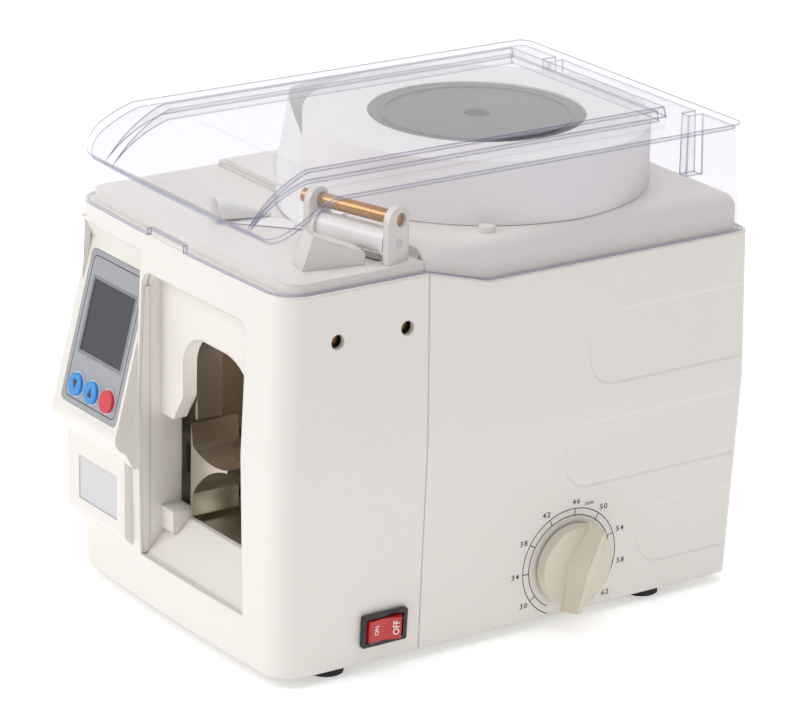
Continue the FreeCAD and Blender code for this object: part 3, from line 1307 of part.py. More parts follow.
# chassis
def build_chassis():
    spots = [(x, y) for x in ("-foot_x", "foot_x") for y in ("-foot_front_y", "foot_rear_y")]
    posts = [(x, y) for x in ("-post_x", "post_x") for y in ("-post_front_y", "-post_middle_y", "post_rear_y")]
    w = "(half_low - wall - base_gap)"
    body = new_body("base_plate")
    pad(body, outline(body, "base", "XY_Plane", PLATE_LOW, round_box(
        "-" + w, w, "-(front_low - wall - base_gap)", "rear_low - wall - base_gap", "front_corner")),
        "base_thick")
    drill(body, "foot_holes", "XY_Plane", PLATE_TOP + " + 1", [
        (x, y, "foot_neck_radius + fit_gap") for x, y in spots], "base_thick + 2")
    drill(body, "post_holes", "XY_Plane", PLATE_TOP + " + 1", [
        (x, y, "screw_radius + fit_gap") for x, y in posts + tab_spots()], "base_thick + 2")
    place(body)
    body = new_body("rubber_feet")
    rod(body, "feet", "XY_Plane", "0", [(x, y, "foot_radius") for x, y in spots], PLATE_LOW)
    rod(body, "foot_necks", "XY_Plane", PLATE_LOW + " - 1", [(x, y, "foot_neck_radius") for x, y in spots],
        "base_thick + fit_gap + 1.2")
    rod(body, "foot_heads", "XY_Plane", PLATE_TOP + " + fit_gap", [
        (x, y, "foot_head_radius") for x, y in spots], "foot_head_thick")
    place(body)
    body = new_body("case_screws")
    rod(body, "case_heads", "XY_Plane", PLATE_LOW, [(x, y, "screw_head_radius") for x, y in posts],
        "screw_head_thick", back=True)
    rod(body, "case_shanks", "XY_Plane", PLATE_LOW + " - 1", [(x, y, "screw_radius") for x, y in posts],
        "screw_long + 1")
    place(body)
    body = new_body("frame_screws")
    rod(body, "frame_heads", "XY_Plane", PLATE_TOP + " + frame_thick", [
        (x, y, "screw_head_radius") for x, y in tab_spots()], "screw_head_thick")
    rod(body, "frame_shanks", "XY_Plane", PLATE_LOW, [(x, y, "screw_radius") for x, y in tab_spots()],
        "base_thick + frame_thick + 1")
    place(body)
    left = new_body("frame_left")
    brick(left, "left_wall", ("-frame_left_x - frame_thick", "-frame_left_x"),
          ("-frame_front_y", "-frame_rear_y"), (PLATE_TOP, "frame_top_z"))
    right = new_body("frame_right")
    wall_x = ("frame_right_x", "frame_right_x + frame_thick")
    brick(right, "right_wall", wall_x, ("-frame_front_y", "-frame_rear_y"), (PLATE_TOP, "frame_top_z"))
    brick(right, "right_tail", wall_x, ("-frame_rear_y", "frame_tail_y"), (PLATE_TOP, "frame_tail_z"))
    for body, edge, side in ((left, "-frame_left_x", "-"), (right, "frame_right_x", "+")):
        for i, y in enumerate(("-frame_tab_front_y", "-frame_tab_rear_y")):
            spread = ("%s - frame_thick - frame_tab" % edge, edge) if side == "-" else (
                edge, "%s + frame_thick + frame_tab" % edge)
            brick(body, body.Label + "_tab%d" % i, spread, (y, "%s + frame_tab_long" % y),
                  (PLATE_TOP, PLATE_TOP + " + frame_thick"))
    drill(left, "left_tab_holes", "XY_Plane", PLATE_TOP + " + 3", [
        (x, y, "screw_radius + fit_gap") for x, y in tab_spots()[:2]], "5")
    drill(right, "right_tab_holes", "XY_Plane", PLATE_TOP + " + 3", [
        (x, y, "screw_radius + fit_gap") for x, y in tab_spots()[2:]], "5")
    drill(right, "right_bores", "YZ_Plane", "frame_right_x - 1", [
        ("-dial_y", "dial_z", "shaft_radius + dial_bush_gap"),
        ("-(jaw_y - jaw_deep / 2)", "jaw_z + jaw_tall / 2", "jaw_rod_radius + plunger_gap")],
        "frame_thick + 2", back=True)
    place(left)
    place(right)
    between = ("-frame_left_x + floor_side_gap", "frame_right_x - floor_side_gap")
    for label, y in (("rod_tie_front", "-tie_front_y"), ("rod_tie_rear", "-tie_rear_y")):
        body = new_body(label)
        brick(body, label + "_plate", between, ("%s - tie_thick" % y, y), ("tie_low_z", "frame_top_z"))
        drill(body, label + "_bores", "XZ_Plane", "-(%s - tie_thick) + 1" % y, [
            (x, "rod_z", "rod_radius + rod_gap") for x in ("-rod_left_x", "rod_right_x")], "tie_thick + 2")
        place(body)
    axles = [("feed_x", "feed_z", "axle_radius + axle_gap"), (PINCH_X, "feed_z", "axle_radius + axle_gap")]
    for label, y in (("cross_front", "-frame_front_y"), ("cross_rear", "-cross_rear_y - tie_thick")):
        body = new_body(label)
        brick(body, label + "_plate", between, (y, "%s + tie_thick" % y), (PLATE_TOP, "cross_top_z"))
        drill(body, label + "_bores", "XZ_Plane", "-(%s) + 1" % y, axles, "tie_thick + 2")
        place(body)
    body = new_body("note_floor")
    brick(body, "floor", between, ("-bay_rear_y + floor_side_gap", "-floor_rear_y"),
          ("sill_rear_z - floor_thick", "sill_rear_z"))
    for i, (x0, x1) in enumerate(((between[0], between[0] + " + floor_thick"),
                                  (between[1] + " - floor_thick", between[1]))):
        brick(body, "floor_side_%d" % i, (x0, x1), ("-frame_front_y + 1", "-floor_rear_y"),
              ("sill_rear_z - floor_thick - floor_lip", "sill_rear_z - floor_thick"))
    place(body)


def tab_spots():
    x = {"-": "-(frame_left_x + frame_thick + frame_tab / 2)", "+": "frame_right_x + frame_thick + frame_tab / 2"}
    return [(x[side], "%s + frame_tab_long / 2" % y) for side in "-+"
            for y in ("-frame_tab_front_y", "-frame_tab_rear_y")]


PINCH_X = "(feed_x + feed_radius + pinch_radius + pinch_gap)"
DRIVE_X = "(feed_x - drive_module * (feed_gear_teeth + motor_gear_teeth) / 2)"


def build_head():
    """Channel, wedge, jaw, heater and cutter behind the bay."""
    body = new_body("tape_arch")
    gap, band = "arch_band_gap", "(arch_band_gap + arch_band)"

    def course(grow):
        left, right, top = "-(arch_left + %s)" % grow, "arch_right + %s" % grow, "arch_top_z + %s" % grow
        rl, rr = "(arch_radius_left + %s)" % grow, "(arch_radius_right + %s)" % grow
        return [(left, "arch_band_left_z"), (left, "%s - %s" % (top, rl), "-" + rl),
                ("%s + %s" % (left, rl), top), ("%s - %s" % (right, rr), top, "-" + rr),
                (right, "%s - %s" % (top, rr)), (right, "arch_band_right_z")]
    inside, outside = course(gap), course(band)
    back = [outside[5], (outside[4][0], outside[4][1], rr_of(band)), outside[3],
            (outside[2][0], outside[2][1], rl_of(band)), outside[1][:2], outside[0]]
    path = inside[:3] + inside[3:] + [back[0], back[1], (back[2][0], back[2][1]), back[3], back[4], back[5]]
    pad(body, outline(body, "arch_course", "XZ_Plane", "arch_band_front_y", path), "arch_band_deep", back=True)
    for i, (x0, x1, z) in enumerate((
            ("-frame_left_x + heater_seat", "-(arch_left + %s)" % band, "arch_band_left_z"),
            ("arch_right + %s - arch_band" % band, "frame_right_x - heater_seat", "arch_band_right_z"))):
        brick(body, "arch_arm_%d" % i, (x0, x1), ("-arch_band_front_y + arch_band_deep - arch_band",
                                                  "-arch_band_front_y + arch_band_deep"),
              ("%s + 4" % z, "%s + 16" % z))
    place(body)
    body = new_body("wedge_guide")
    pad(body, outline(body, "wedge_side", "XZ_Plane", "arch_band_front_y", [
        ("-wedge_left_x", "wedge_low_z"), ("-wedge_left_x + wedge_edge", "wedge_low_z"),
        ("-wedge_back_x", "wedge_back_z", "-wedge_curve"), ("wedge_apex_x", "wedge_apex_z - wedge_edge / 2"),
        ("wedge_apex_x", "wedge_apex_z + wedge_edge / 2", "-wedge_curve"),
        ("-wedge_back_x", "wedge_shoulder_z + 1"), ("-wedge_left_x", "wedge_top_z"),
    ]), "wedge_deep", back=True)
    place(body)
    body = new_body("wedge_bracket")
    brick(body, "wedge_arm", ("-frame_left_x + heater_seat", "-wedge_left_x - heater_seat"),
          ("-wedge_arm_y", "-wedge_arm_y + wedge_arm_deep"), ("wedge_arm_z", "wedge_arm_z + wedge_arm_tall"))
    place(body)
    build_jaw()


def rr_of(grow):
    return "(arch_radius_right + %s)" % grow


def rl_of(grow):
    return "(arch_radius_left + %s)" % grow


def build_jaw():
    mid_y, mid_z = "-(jaw_y - jaw_deep / 2)", "jaw_z + jaw_tall / 2"
    body = new_body("press_jaw")
    pad(body, outline(body, "jaw_side", "XZ_Plane", "jaw_y", [
        ("jaw_x + jaw_nose", "jaw_z"), ("jaw_x + jaw_long", "jaw_z"), ("jaw_x + jaw_long", "jaw_z + jaw_tall"),
        ("jaw_x + jaw_nose", "jaw_z + jaw_tall"), ("jaw_x", mid_z),
    ]), "jaw_deep", back=True)
    rod(body, "jaw_rod", "YZ_Plane", "jaw_x + jaw_long - 1", [(mid_y, mid_z, "jaw_rod_radius")],
        "frame_right_x + frame_thick + jaw_rod_in - jaw_x - jaw_long + 1")
    place(body)
    body = new_body("jaw_solenoid")
    x0 = "frame_right_x + frame_thick + heater_seat"
    brick(body, "jaw_coil", (x0, x0 + " + coil_long"), ("%s - coil_half" % mid_y, "%s + coil_half" % mid_y),
          ("%s - coil_half" % mid_z, "%s + coil_half" % mid_z))
    drill(body, "jaw_coil_bore", "YZ_Plane", x0 + " - 1", [
        (mid_y, mid_z, "jaw_rod_radius + plunger_gap")], "jaw_rod_in + 2", back=True)
    place(body)
    body = new_body("heater_block")
    brick(body, "heater", ("-frame_left_x + heater_seat", "-frame_left_x + heater_seat + heater_long"),
          ("-heater_y", "-heater_y + heater_deep"), ("heater_low_z", "heater_low_z + heater_tall"))
    place(body)
    body = new_body("cutter_blade")
    y0, y1 = "-blade_y - blade_thick", "-blade_y"
    pad(body, outline(body, "blade", "XZ_Plane", "blade_y + blade_thick", [
        ("-blade_half", "blade_low_z"), ("blade_half", "blade_low_z"), ("blade_half", "blade_top_z"),
        ("-blade_half", "blade_top_z - blade_edge"),
    ]), "blade_thick", back=True)
    brick(body, "blade_arm", ("-plunger_radius", "plunger_radius"), ("-cutter_y - plunger_radius", y1),
          ("blade_low_z", "blade_low_z + blade_foot"))
    rod(body, "plunger", "XY_Plane", "blade_low_z + blade_foot / 2", [("0", "-cutter_y", "plunger_radius")],
        "blade_low_z + blade_foot / 2 - cutter_top_z + plunger_in", back=True)
    place(body)
    body = new_body("cutter_solenoid")
    brick(body, "cutter_coil", ("-cutter_half", "cutter_half"), ("-cutter_y - cutter_half", "-cutter_y + cutter_half"),
          (PLATE_TOP, "cutter_top_z"))
    drill(body, "cutter_bore", "XY_Plane", "cutter_top_z + 1", [
        ("0", "-cutter_y", "plunger_radius + plunger_gap")], "plunger_in + 2")
    place(body)


def build_stop():
    """Note stop on its two rods, driven through the rack by the dial."""
    face = "(-strap_y + dial_reading)"
    rods = [("-rod_left_x", "rod_z"), ("rod_right_x", "rod_z")]
    body = new_body("note_stop")
    brick(body, "stop_plate", ("-stop_left", "stop_right"), (face, face + " + stop_thick"),
          ("stop_low_z", "stop_top_z"))
    rod(body, "stop_bosses", "XZ_Plane", "-(%s)" % face, [(x, z, "stop_boss_radius") for x, z in rods],
        "stop_boss_long", back=True)
    drill(body, "stop_bores", "XZ_Plane", "-(%s) + 1" % face, [
        (x, z, "rod_radius + rod_gap") for x, z in rods], "stop_boss_long + 2")
    place(body)
    body = new_body("guide_rods")
    rod(body, "rods", "XZ_Plane", "tie_front_y + tie_thick", [(x, z, "rod_radius") for x, z in rods],
        "tie_front_y - tie_rear_y + tie_thick", back=True)
    place(body)
    body = new_body("stop_rack")
    pitch_z = "(dial_z + pinion_teeth * pinion_module / 2)"
    root_z = "(%s + 1.25 * pinion_module)" % pitch_z
    x = ("pinion_x", "pinion_x + gear_wide")
    mid = "(-dial_y)"
    brick(body, "rack_bar", x, (face + " + stop_thick", "%s + (rack_start + 0.5) * pi_step" % mid),
          (root_z, root_z + " + rack_back"))
    brick(body, "rack_lug", x, (face + " + stop_thick", face + " + stop_thick + rack_lug_deep"),
          (root_z, "rack_lug_top_z"))
    tooth = pad(body, outline(body, "rack_tooth", "YZ_Plane", "pinion_x", [
        ("%s + (rack_start - 0.5) * pi_step - 1.05 * pinion_module" % mid, root_z + " + 0.2"),
        ("%s + (rack_start - 0.5) * pi_step - 0.3 * pinion_module" % mid, "%s - pinion_module" % pitch_z),
        ("%s + (rack_start - 0.5) * pi_step + 0.3 * pinion_module" % mid, "%s - pinion_module" % pitch_z),
        ("%s + (rack_start - 0.5) * pi_step + 1.05 * pinion_module" % mid, root_z + " + 0.2"),
    ]), "gear_wide")
    row = body.newObject("PartDesign::LinearPattern", "rack_row")
    row.Originals = [tooth]
    row.Direction = (tooth.Profile[0], ["H_Axis"])
    row.Reversed = True
    row.Mode = "Spacing"
    row.setExpression("Offset", bound("pi_step"))
    row.setExpression("Occurrences", bound("rack_teeth"))
    body.Tip = row
    doc.recompute()
    place(body)


def build_drive():
    body = new_body("feed_roller")
    rod(body, "feed_tyre", "XZ_Plane", "roller_front_y", [("feed_x", "feed_z", "feed_radius")],
        "roller_long", back=True)
    rod(body, "feed_axle", "XZ_Plane", "frame_front_y", [("feed_x", "feed_z", "axle_radius")],
        "frame_front_y - feed_axle_end_y", back=True)
    place(body)
    body = new_body("pinch_roller")
    rod(body, "pinch_tyre", "XZ_Plane", "roller_front_y", [(PINCH_X, "feed_z", "pinch_radius")],
        "roller_long", back=True)
    rod(body, "pinch_axle", "XZ_Plane", "frame_front_y", [(PINCH_X, "feed_z", "axle_radius")],
        "frame_front_y - cross_rear_y", back=True)
    place(body)
    body = new_body("feed_gear")
    gear(body, "feed_wheel", "XZ_Plane", "drive_gear_y - drive_gear_wide", ("feed_x", "feed_z"),
         "feed_gear_teeth", "drive_module", "drive_gear_wide", "axle_radius + axle_gap", "0")
    place(body)
    body = new_body("motor_pinion")
    gear(body, "motor_wheel", "XZ_Plane", "drive_gear_y - drive_gear_wide", (DRIVE_X, "feed_z"),
         "motor_gear_teeth", "drive_module", "drive_gear_wide", "motor_shaft_radius + axle_gap",
         "180 / motor_gear_teeth")
    place(body)
    body = new_body("motor_bracket")
    brick(body, "motor_plate", (DRIVE_X + " - motor_plate_half", DRIVE_X + " + motor_plate_half"),
          ("-motor_plate_y", "-motor_plate_y + tie_thick"), (PLATE_TOP, "motor_plate_top_z"))
    brick(body, "motor_foot", (DRIVE_X + " - motor_plate_half", DRIVE_X + " + motor_plate_half"),
          ("-motor_plate_y - frame_tab / 2", "-motor_plate_y"), (PLATE_TOP, PLATE_TOP + " + tie_thick"))
    drill(body, "motor_plate_bore", "XZ_Plane", "motor_plate_y + 1", [
        (DRIVE_X, "feed_z", "motor_shaft_radius + axle_gap")], "tie_thick + 2")
    place(body)
    body = new_body("feed_motor")
    rod(body, "motor", "XZ_Plane", "motor_plate_y - tie_thick", [(DRIVE_X, "feed_z", "motor_radius")],
        "motor_long", back=True)
    rod(body, "motor_shaft", "XZ_Plane", "drive_gear_y", [(DRIVE_X, "feed_z", "motor_shaft_radius")],
        "drive_gear_y - motor_plate_y + tie_thick + 1", back=True)
    place(body)


def build_electrics():
    body = new_body("transformer")
    brick(body, "core", ("-core_left", "-core_right"), ("-core_front_y", "-core_front_y + core_deep"),
          (PLATE_TOP, PLATE_TOP + " + core_tall"))
    brick(body, "coils", ("-core_left + coil_margin", "-core_right - coil_margin"),
          ("-core_front_y - coil_over", "-core_front_y + core_deep + coil_over"),
          (PLATE_TOP + " + coil_margin", PLATE_TOP + " + core_tall - coil_margin"))
    place(body)
    body = new_body("control_board")
    brick(body, "board", ("-board_left", "board_right"), ("board_y", "board_y + board_thick"),
          ("board_low_z", "board_top_z"))
    for i in range(3):
        x = "-board_left + 12 + %d * (relay_long + 4)" % i
        brick(body, "relay_%d" % i, (x, x + " + relay_long"), ("board_y - relay_deep", "board_y"),
              ("board_low_z + 8", "board_low_z + 8 + relay_tall"))
    place(body)
    body = new_body("power_inlet")
    half, tall = "inlet_wide / 2", "inlet_tall / 2"
    outer = "(rear_middle + inlet_seat)"
    brick(body, "inlet_plate", ("inlet_x - %s - inlet_flange" % half, "inlet_x + %s + inlet_flange" % half),
          (outer, outer + " + inlet_flange_thick"),
          ("inlet_z - %s - inlet_flange" % tall, "inlet_z + %s + inlet_flange" % tall))
    brick(body, "inlet_body", ("inlet_x - %s" % half, "inlet_x + %s" % half),
          (outer + " - inlet_deep", outer + " + inlet_flange_thick / 2"),
          ("inlet_z - %s" % tall, "inlet_z + %s" % tall))
    room = outline(body, "inlet_room", "XZ_Plane", "-(%s + inlet_flange_thick)" % outer, box(
        "inlet_x - %s + 2" % half, "inlet_x + %s - 2" % half, "inlet_z - %s + 2" % tall,
        "inlet_z + %s - 2" % tall))
    pocket(body, room, "inlet_deep - 2", back=True)
    for i, (dx, dz) in enumerate((("-inlet_pin_gap", "-2"), ("inlet_pin_gap", "-2"), ("0", "3"))):
        brick(body, "inlet_pin_%d" % i, ("inlet_x + %s - 1" % dx, "inlet_x + %s + 1" % dx),
              (outer + " - inlet_deep + 1", outer + " - 2"),
              ("inlet_z + %s - 2" % dz, "inlet_z + %s + 2" % dz))
    place(body)


def build_side_pins():
    """Screw behind the front hole and shaft end behind the rear one."""
    body = new_body("pivot_studs")
    rod(body, "studs", "YZ_Plane", "frame_right_x + frame_thick", [
        ("-side_hole_front_y", "side_hole_z", "stud_radius"),
        ("-side_hole_rear_y", "side_hole_z", "stud_radius")], "stud_long")
    place(body)


build_front_cover()
build_body_shell()
build_lid()
build_roll()
build_guide()
build_display()
build_switch()
build_dial()
build_chassis()
build_head()
build_stop()
build_drive()
build_electrics()
build_side_pins()

doc.recompute()
os.makedirs("parts", exist_ok=True)
for label, item in parts.items():
    state = [s for s in item.State if s in ("Invalid", "Error")]
    if state or item.Shape.isNull() or not item.Shape.isValid():
        raise ValueError("%s is not sound: %s" % (label, item.State))
for item in doc.Objects:
    if "Invalid" in item.State or "Error" in item.State:
        raise ValueError("%s failed: %s" % (item.Name, item.State))
for label, item in parts.items():
    item.Shape.exportStep("parts/%s.step" % label)
    print(label, [round(v, 1) for v in (item.Shape.BoundBox.XMin, item.Shape.BoundBox.XMax,
                                        item.Shape.BoundBox.YMin, item.Shape.BoundBox.YMax,
                                        item.Shape.BoundBox.ZMin, item.Shape.BoundBox.ZMax)],
          len(item.Shape.Solids), round(item.Shape.Volume))
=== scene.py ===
# %% [markdown]
# # Banknote strapping machine
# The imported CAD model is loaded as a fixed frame. This script gives every piece its material, adds the
# soft tape, the printed dial and the display, and sets the camera and the lights. Lengths are in
# metres, or in millimetres where a name says mm.

# %%
import bpy
import json
import math
from mathutils import Matrix, Vector


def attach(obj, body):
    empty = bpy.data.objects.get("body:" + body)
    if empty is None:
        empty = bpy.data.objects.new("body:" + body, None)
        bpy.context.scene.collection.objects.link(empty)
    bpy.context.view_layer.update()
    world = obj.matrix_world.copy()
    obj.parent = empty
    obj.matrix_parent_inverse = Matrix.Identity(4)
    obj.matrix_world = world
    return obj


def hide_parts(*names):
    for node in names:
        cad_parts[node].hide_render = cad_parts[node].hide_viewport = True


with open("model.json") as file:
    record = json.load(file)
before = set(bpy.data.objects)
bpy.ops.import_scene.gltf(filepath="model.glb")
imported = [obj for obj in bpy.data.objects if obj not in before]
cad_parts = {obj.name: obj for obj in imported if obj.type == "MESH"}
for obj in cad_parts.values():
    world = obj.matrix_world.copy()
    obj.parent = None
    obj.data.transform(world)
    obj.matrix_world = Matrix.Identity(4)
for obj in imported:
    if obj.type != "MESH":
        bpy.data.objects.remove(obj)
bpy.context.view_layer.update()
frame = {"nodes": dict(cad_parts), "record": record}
scene = bpy.context.scene
MM = 0.001

# %% [markdown]
# ## Frame of the CAD
# Points are written in the part's working frame, with its origin under the axis of the roll.

# %%
LEAN = math.radians(14.26)
ORIGIN = Vector((-7.0, (149.9 + 83 * math.sin(LEAN) - 0.8 - 95.6) / 2, 0.0))
DECK = 184.0


def at(x, y, z):
    return (Vector((x, y, z)) + ORIGIN) * MM


# %% [markdown]
# ## Camera
# Solved from the straight edges of the case and the ellipses of the roll.

# %%
AZ, EL, ROLL = math.radians(55.121), math.radians(19.408), math.radians(1.288)
back = Vector((math.sin(AZ) * math.cos(EL), -math.cos(AZ) * math.cos(EL), math.sin(EL)))
right = Vector((math.cos(AZ), math.sin(AZ), 0.0))
up = back.cross(right)
right, up = (math.cos(ROLL) * right + math.sin(ROLL) * up, -math.sin(ROLL) * right + math.cos(ROLL) * up)
cam_data = bpy.data.cameras.new("camera")
camera = bpy.data.objects.new("camera", cam_data)
scene.collection.objects.link(camera)
eye = at(1419.215, -1027.621, 530.447 + DECK)
camera.matrix_world = Matrix((
    (right.x, up.x, back.x, eye.x), (right.y, up.y, back.y, eye.y),
    (right.z, up.z, back.z, eye.z), (0, 0, 0, 1)))
cam_data.sensor_width = 36.0
cam_data.lens = 36.0 * 4122.884 / 800
cam_data.clip_start = 0.05
cam_data.clip_end = 30.0
scene.camera = camera
scene.render.resolution_x = 800
scene.render.resolution_y = 713

# %% [markdown]
# ## Materials
# No real surface is one flat colour. Two effects turn up on almost every piece here: a slight mottle of
# colour and shine, and a fine grain. Painting them on a picture would tie them to one size, so both are
# built once as node groups, and each material places them with its own values.

# %%


def group(name, inputs, outputs):
    tree = bpy.data.node_groups.new(name, "ShaderNodeTree")
    for label, kind, value in inputs:
        item = tree.interface.new_socket(name=label, in_out="INPUT", socket_type=kind)
        if value is not None:
            item.default_value = value
    for label, kind in outputs:
        tree.interface.new_socket(name=label, in_out="OUTPUT", socket_type=kind)
    return tree, tree.nodes.new("NodeGroupInput"), tree.nodes.new("NodeGroupOutput")


def node(tree, kind, values=None, **settings):
    item = tree.nodes.new(kind)
    for name, value in settings.items():
        setattr(item, name, value)
    for name, value in (values or {}).items():
        item.inputs[name].default_value = value
    return item


def make_mottle():
    """Slight unevenness of colour and roughness, in object space."""
    tree, start, end = group("mottle", [
        ("Color", "NodeSocketColor", (0.8, 0.8, 0.8, 1)), ("Amount", "NodeSocketFloat", 0.04),
        ("Scale", "NodeSocketFloat", 60.0), ("Roughness", "NodeSocketFloat", 0.4),
        ("Spread", "NodeSocketFloat", 0.08)],
        [("Color", "NodeSocketColor"), ("Roughness", "NodeSocketFloat")])
    where = node(tree, "ShaderNodeTexCoord")
    noise = node(tree, "ShaderNodeTexNoise", {"Detail": 4.0, "Roughness": 0.6})
    tree.links.new(where.outputs["Object"], noise.inputs["Vector"])
    tree.links.new(start.outputs["Scale"], noise.inputs["Scale"])
    centred = node(tree, "ShaderNodeMath", {1: 0.5}, operation="SUBTRACT")
    tree.links.new(noise.outputs["Fac"], centred.inputs[0])
    swing = node(tree, "ShaderNodeMath", operation="MULTIPLY_ADD")
    tree.links.new(centred.outputs[0], swing.inputs[0])
    tree.links.new(start.outputs["Amount"], swing.inputs[1])
    swing.inputs[2].default_value = 1.0
    tint = node(tree, "ShaderNodeVectorMath", operation="SCALE")
    tree.links.new(start.outputs["Color"], tint.inputs[0])
    tree.links.new(swing.outputs[0], tint.inputs["Scale"])
    tree.links.new(tint.outputs[0], end.inputs["Color"])
    rough = node(tree, "ShaderNodeMath", operation="MULTIPLY_ADD")
    tree.links.new(centred.outputs[0], rough.inputs[0])
    tree.links.new(start.outputs["Spread"], rough.inputs[1])
    tree.links.new(start.outputs["Roughness"], rough.inputs[2])
    tree.links.new(rough.outputs[0], end.inputs["Roughness"])
    return tree


def make_grain():
    """Height of a moulded or rolled surface: fine spark-eroded grain, or lines along one axis."""
    tree, start, end = group("grain", [
        ("Scale", "NodeSocketFloat", 900.0), ("Stretch", "NodeSocketVector", (1, 1, 1)),
        ("Strength", "NodeSocketFloat", 0.05), ("Normal", "NodeSocketVector", None)],
        [("Normal", "NodeSocketVector")])
    where = node(tree, "ShaderNodeTexCoord")
    scaled = node(tree, "ShaderNodeVectorMath", operation="MULTIPLY")
    tree.links.new(where.outputs["Object"], scaled.inputs[0])
    tree.links.new(start.outputs["Stretch"], scaled.inputs[1])
    noise = node(tree, "ShaderNodeTexNoise", {"Detail": 3.0, "Roughness": 0.55})
    tree.links.new(scaled.outputs[0], noise.inputs["Vector"])
    tree.links.new(start.outputs["Scale"], noise.inputs["Scale"])
    bump = node(tree, "ShaderNodeBump", {"Distance": 0.0002})
    tree.links.new(noise.outputs["Fac"], bump.inputs["Height"])
    tree.links.new(start.outputs["Strength"], bump.inputs["Strength"])
    tree.links.new(start.outputs["Normal"], bump.inputs["Normal"])
    tree.links.new(bump.outputs["Normal"], end.inputs["Normal"])
    return tree


MOTTLE = make_mottle()
GRAIN = make_grain()
print("groups:", MOTTLE.name, len(MOTTLE.nodes), "nodes,", GRAIN.name, len(GRAIN.nodes), "nodes")

# %% [markdown]
# ### Solid materials
# Moulded plastic, steel, rubber and paper are one Principled shader with other numbers. The real
# mouldings have soft corners that the CAD leaves sharp, and a Bevel node rounds how those corners catch
# the light.

# %%


def srgb(r, g, b):
    """Linear colour of an 8-bit one."""
    linear = [((c / 255 + 0.055) / 1.055) ** 2.4 if c > 10 else c / 255 / 12.92 for c in (r, g, b)]
    return tuple(linear) + (1.0,)


def surface(name, color, rough, metallic=0.0, amount=0.04, scale=60.0, spread=0.08, grain=900.0,
            strength=0.05, stretch=(1, 1, 1), edge=0.0, coat=0.0, sub=0.0):
    """Principled material fed by the shared groups, with softened edges where edge (mm) is given."""
    mat = bpy.data.materials.new(name)
    mat.use_nodes = True
    tree = mat.node_tree
    shader = tree.nodes["Principled BSDF"]
    mottle = node(tree, "ShaderNodeGroup")
    mottle.node_tree = MOTTLE
    for label, value in (("Color", color), ("Amount", amount), ("Scale", scale), ("Roughness", rough),
                         ("Spread", spread)):
        mottle.inputs[label].default_value = value
    tree.links.new(mottle.outputs["Color"], shader.inputs["Base Color"])
    tree.links.new(mottle.outputs["Roughness"], shader.inputs["Roughness"])
    bumps = node(tree, "ShaderNodeGroup")
    bumps.node_tree = GRAIN
    for label, value in (("Scale", grain), ("Stretch", stretch), ("Strength", strength)):
        bumps.inputs[label].default_value = value
    if edge:
        bevel = node(tree, "ShaderNodeBevel", {"Radius": edge * MM}, samples=4)
        tree.links.new(bevel.outputs["Normal"], bumps.inputs["Normal"])
    else:
        geometry = node(tree, "ShaderNodeNewGeometry")
        tree.links.new(geometry.outputs["Normal"], bumps.inputs["Normal"])
    tree.links.new(bumps.outputs["Normal"], shader.inputs["Normal"])
    shader.inputs["Metallic"].default_value = metallic
    shader.inputs["Coat Weight"].default_value = coat
    if sub:
        shader.inputs["Subsurface Weight"].default_value = sub
        shader.inputs["Subsurface Radius"].default_value = (0.003, 0.002, 0.0015)
        shader.inputs["Subsurface Scale"].default_value = 0.5
    return mat


# %% [markdown]
# ### The clear lid
# Glass that bends light would turn dark in a thin shell seen at a slant, so the light here passes
# straight through. What shows a clear moulding is its edges, and they get a lilac grey of their own.

# %%


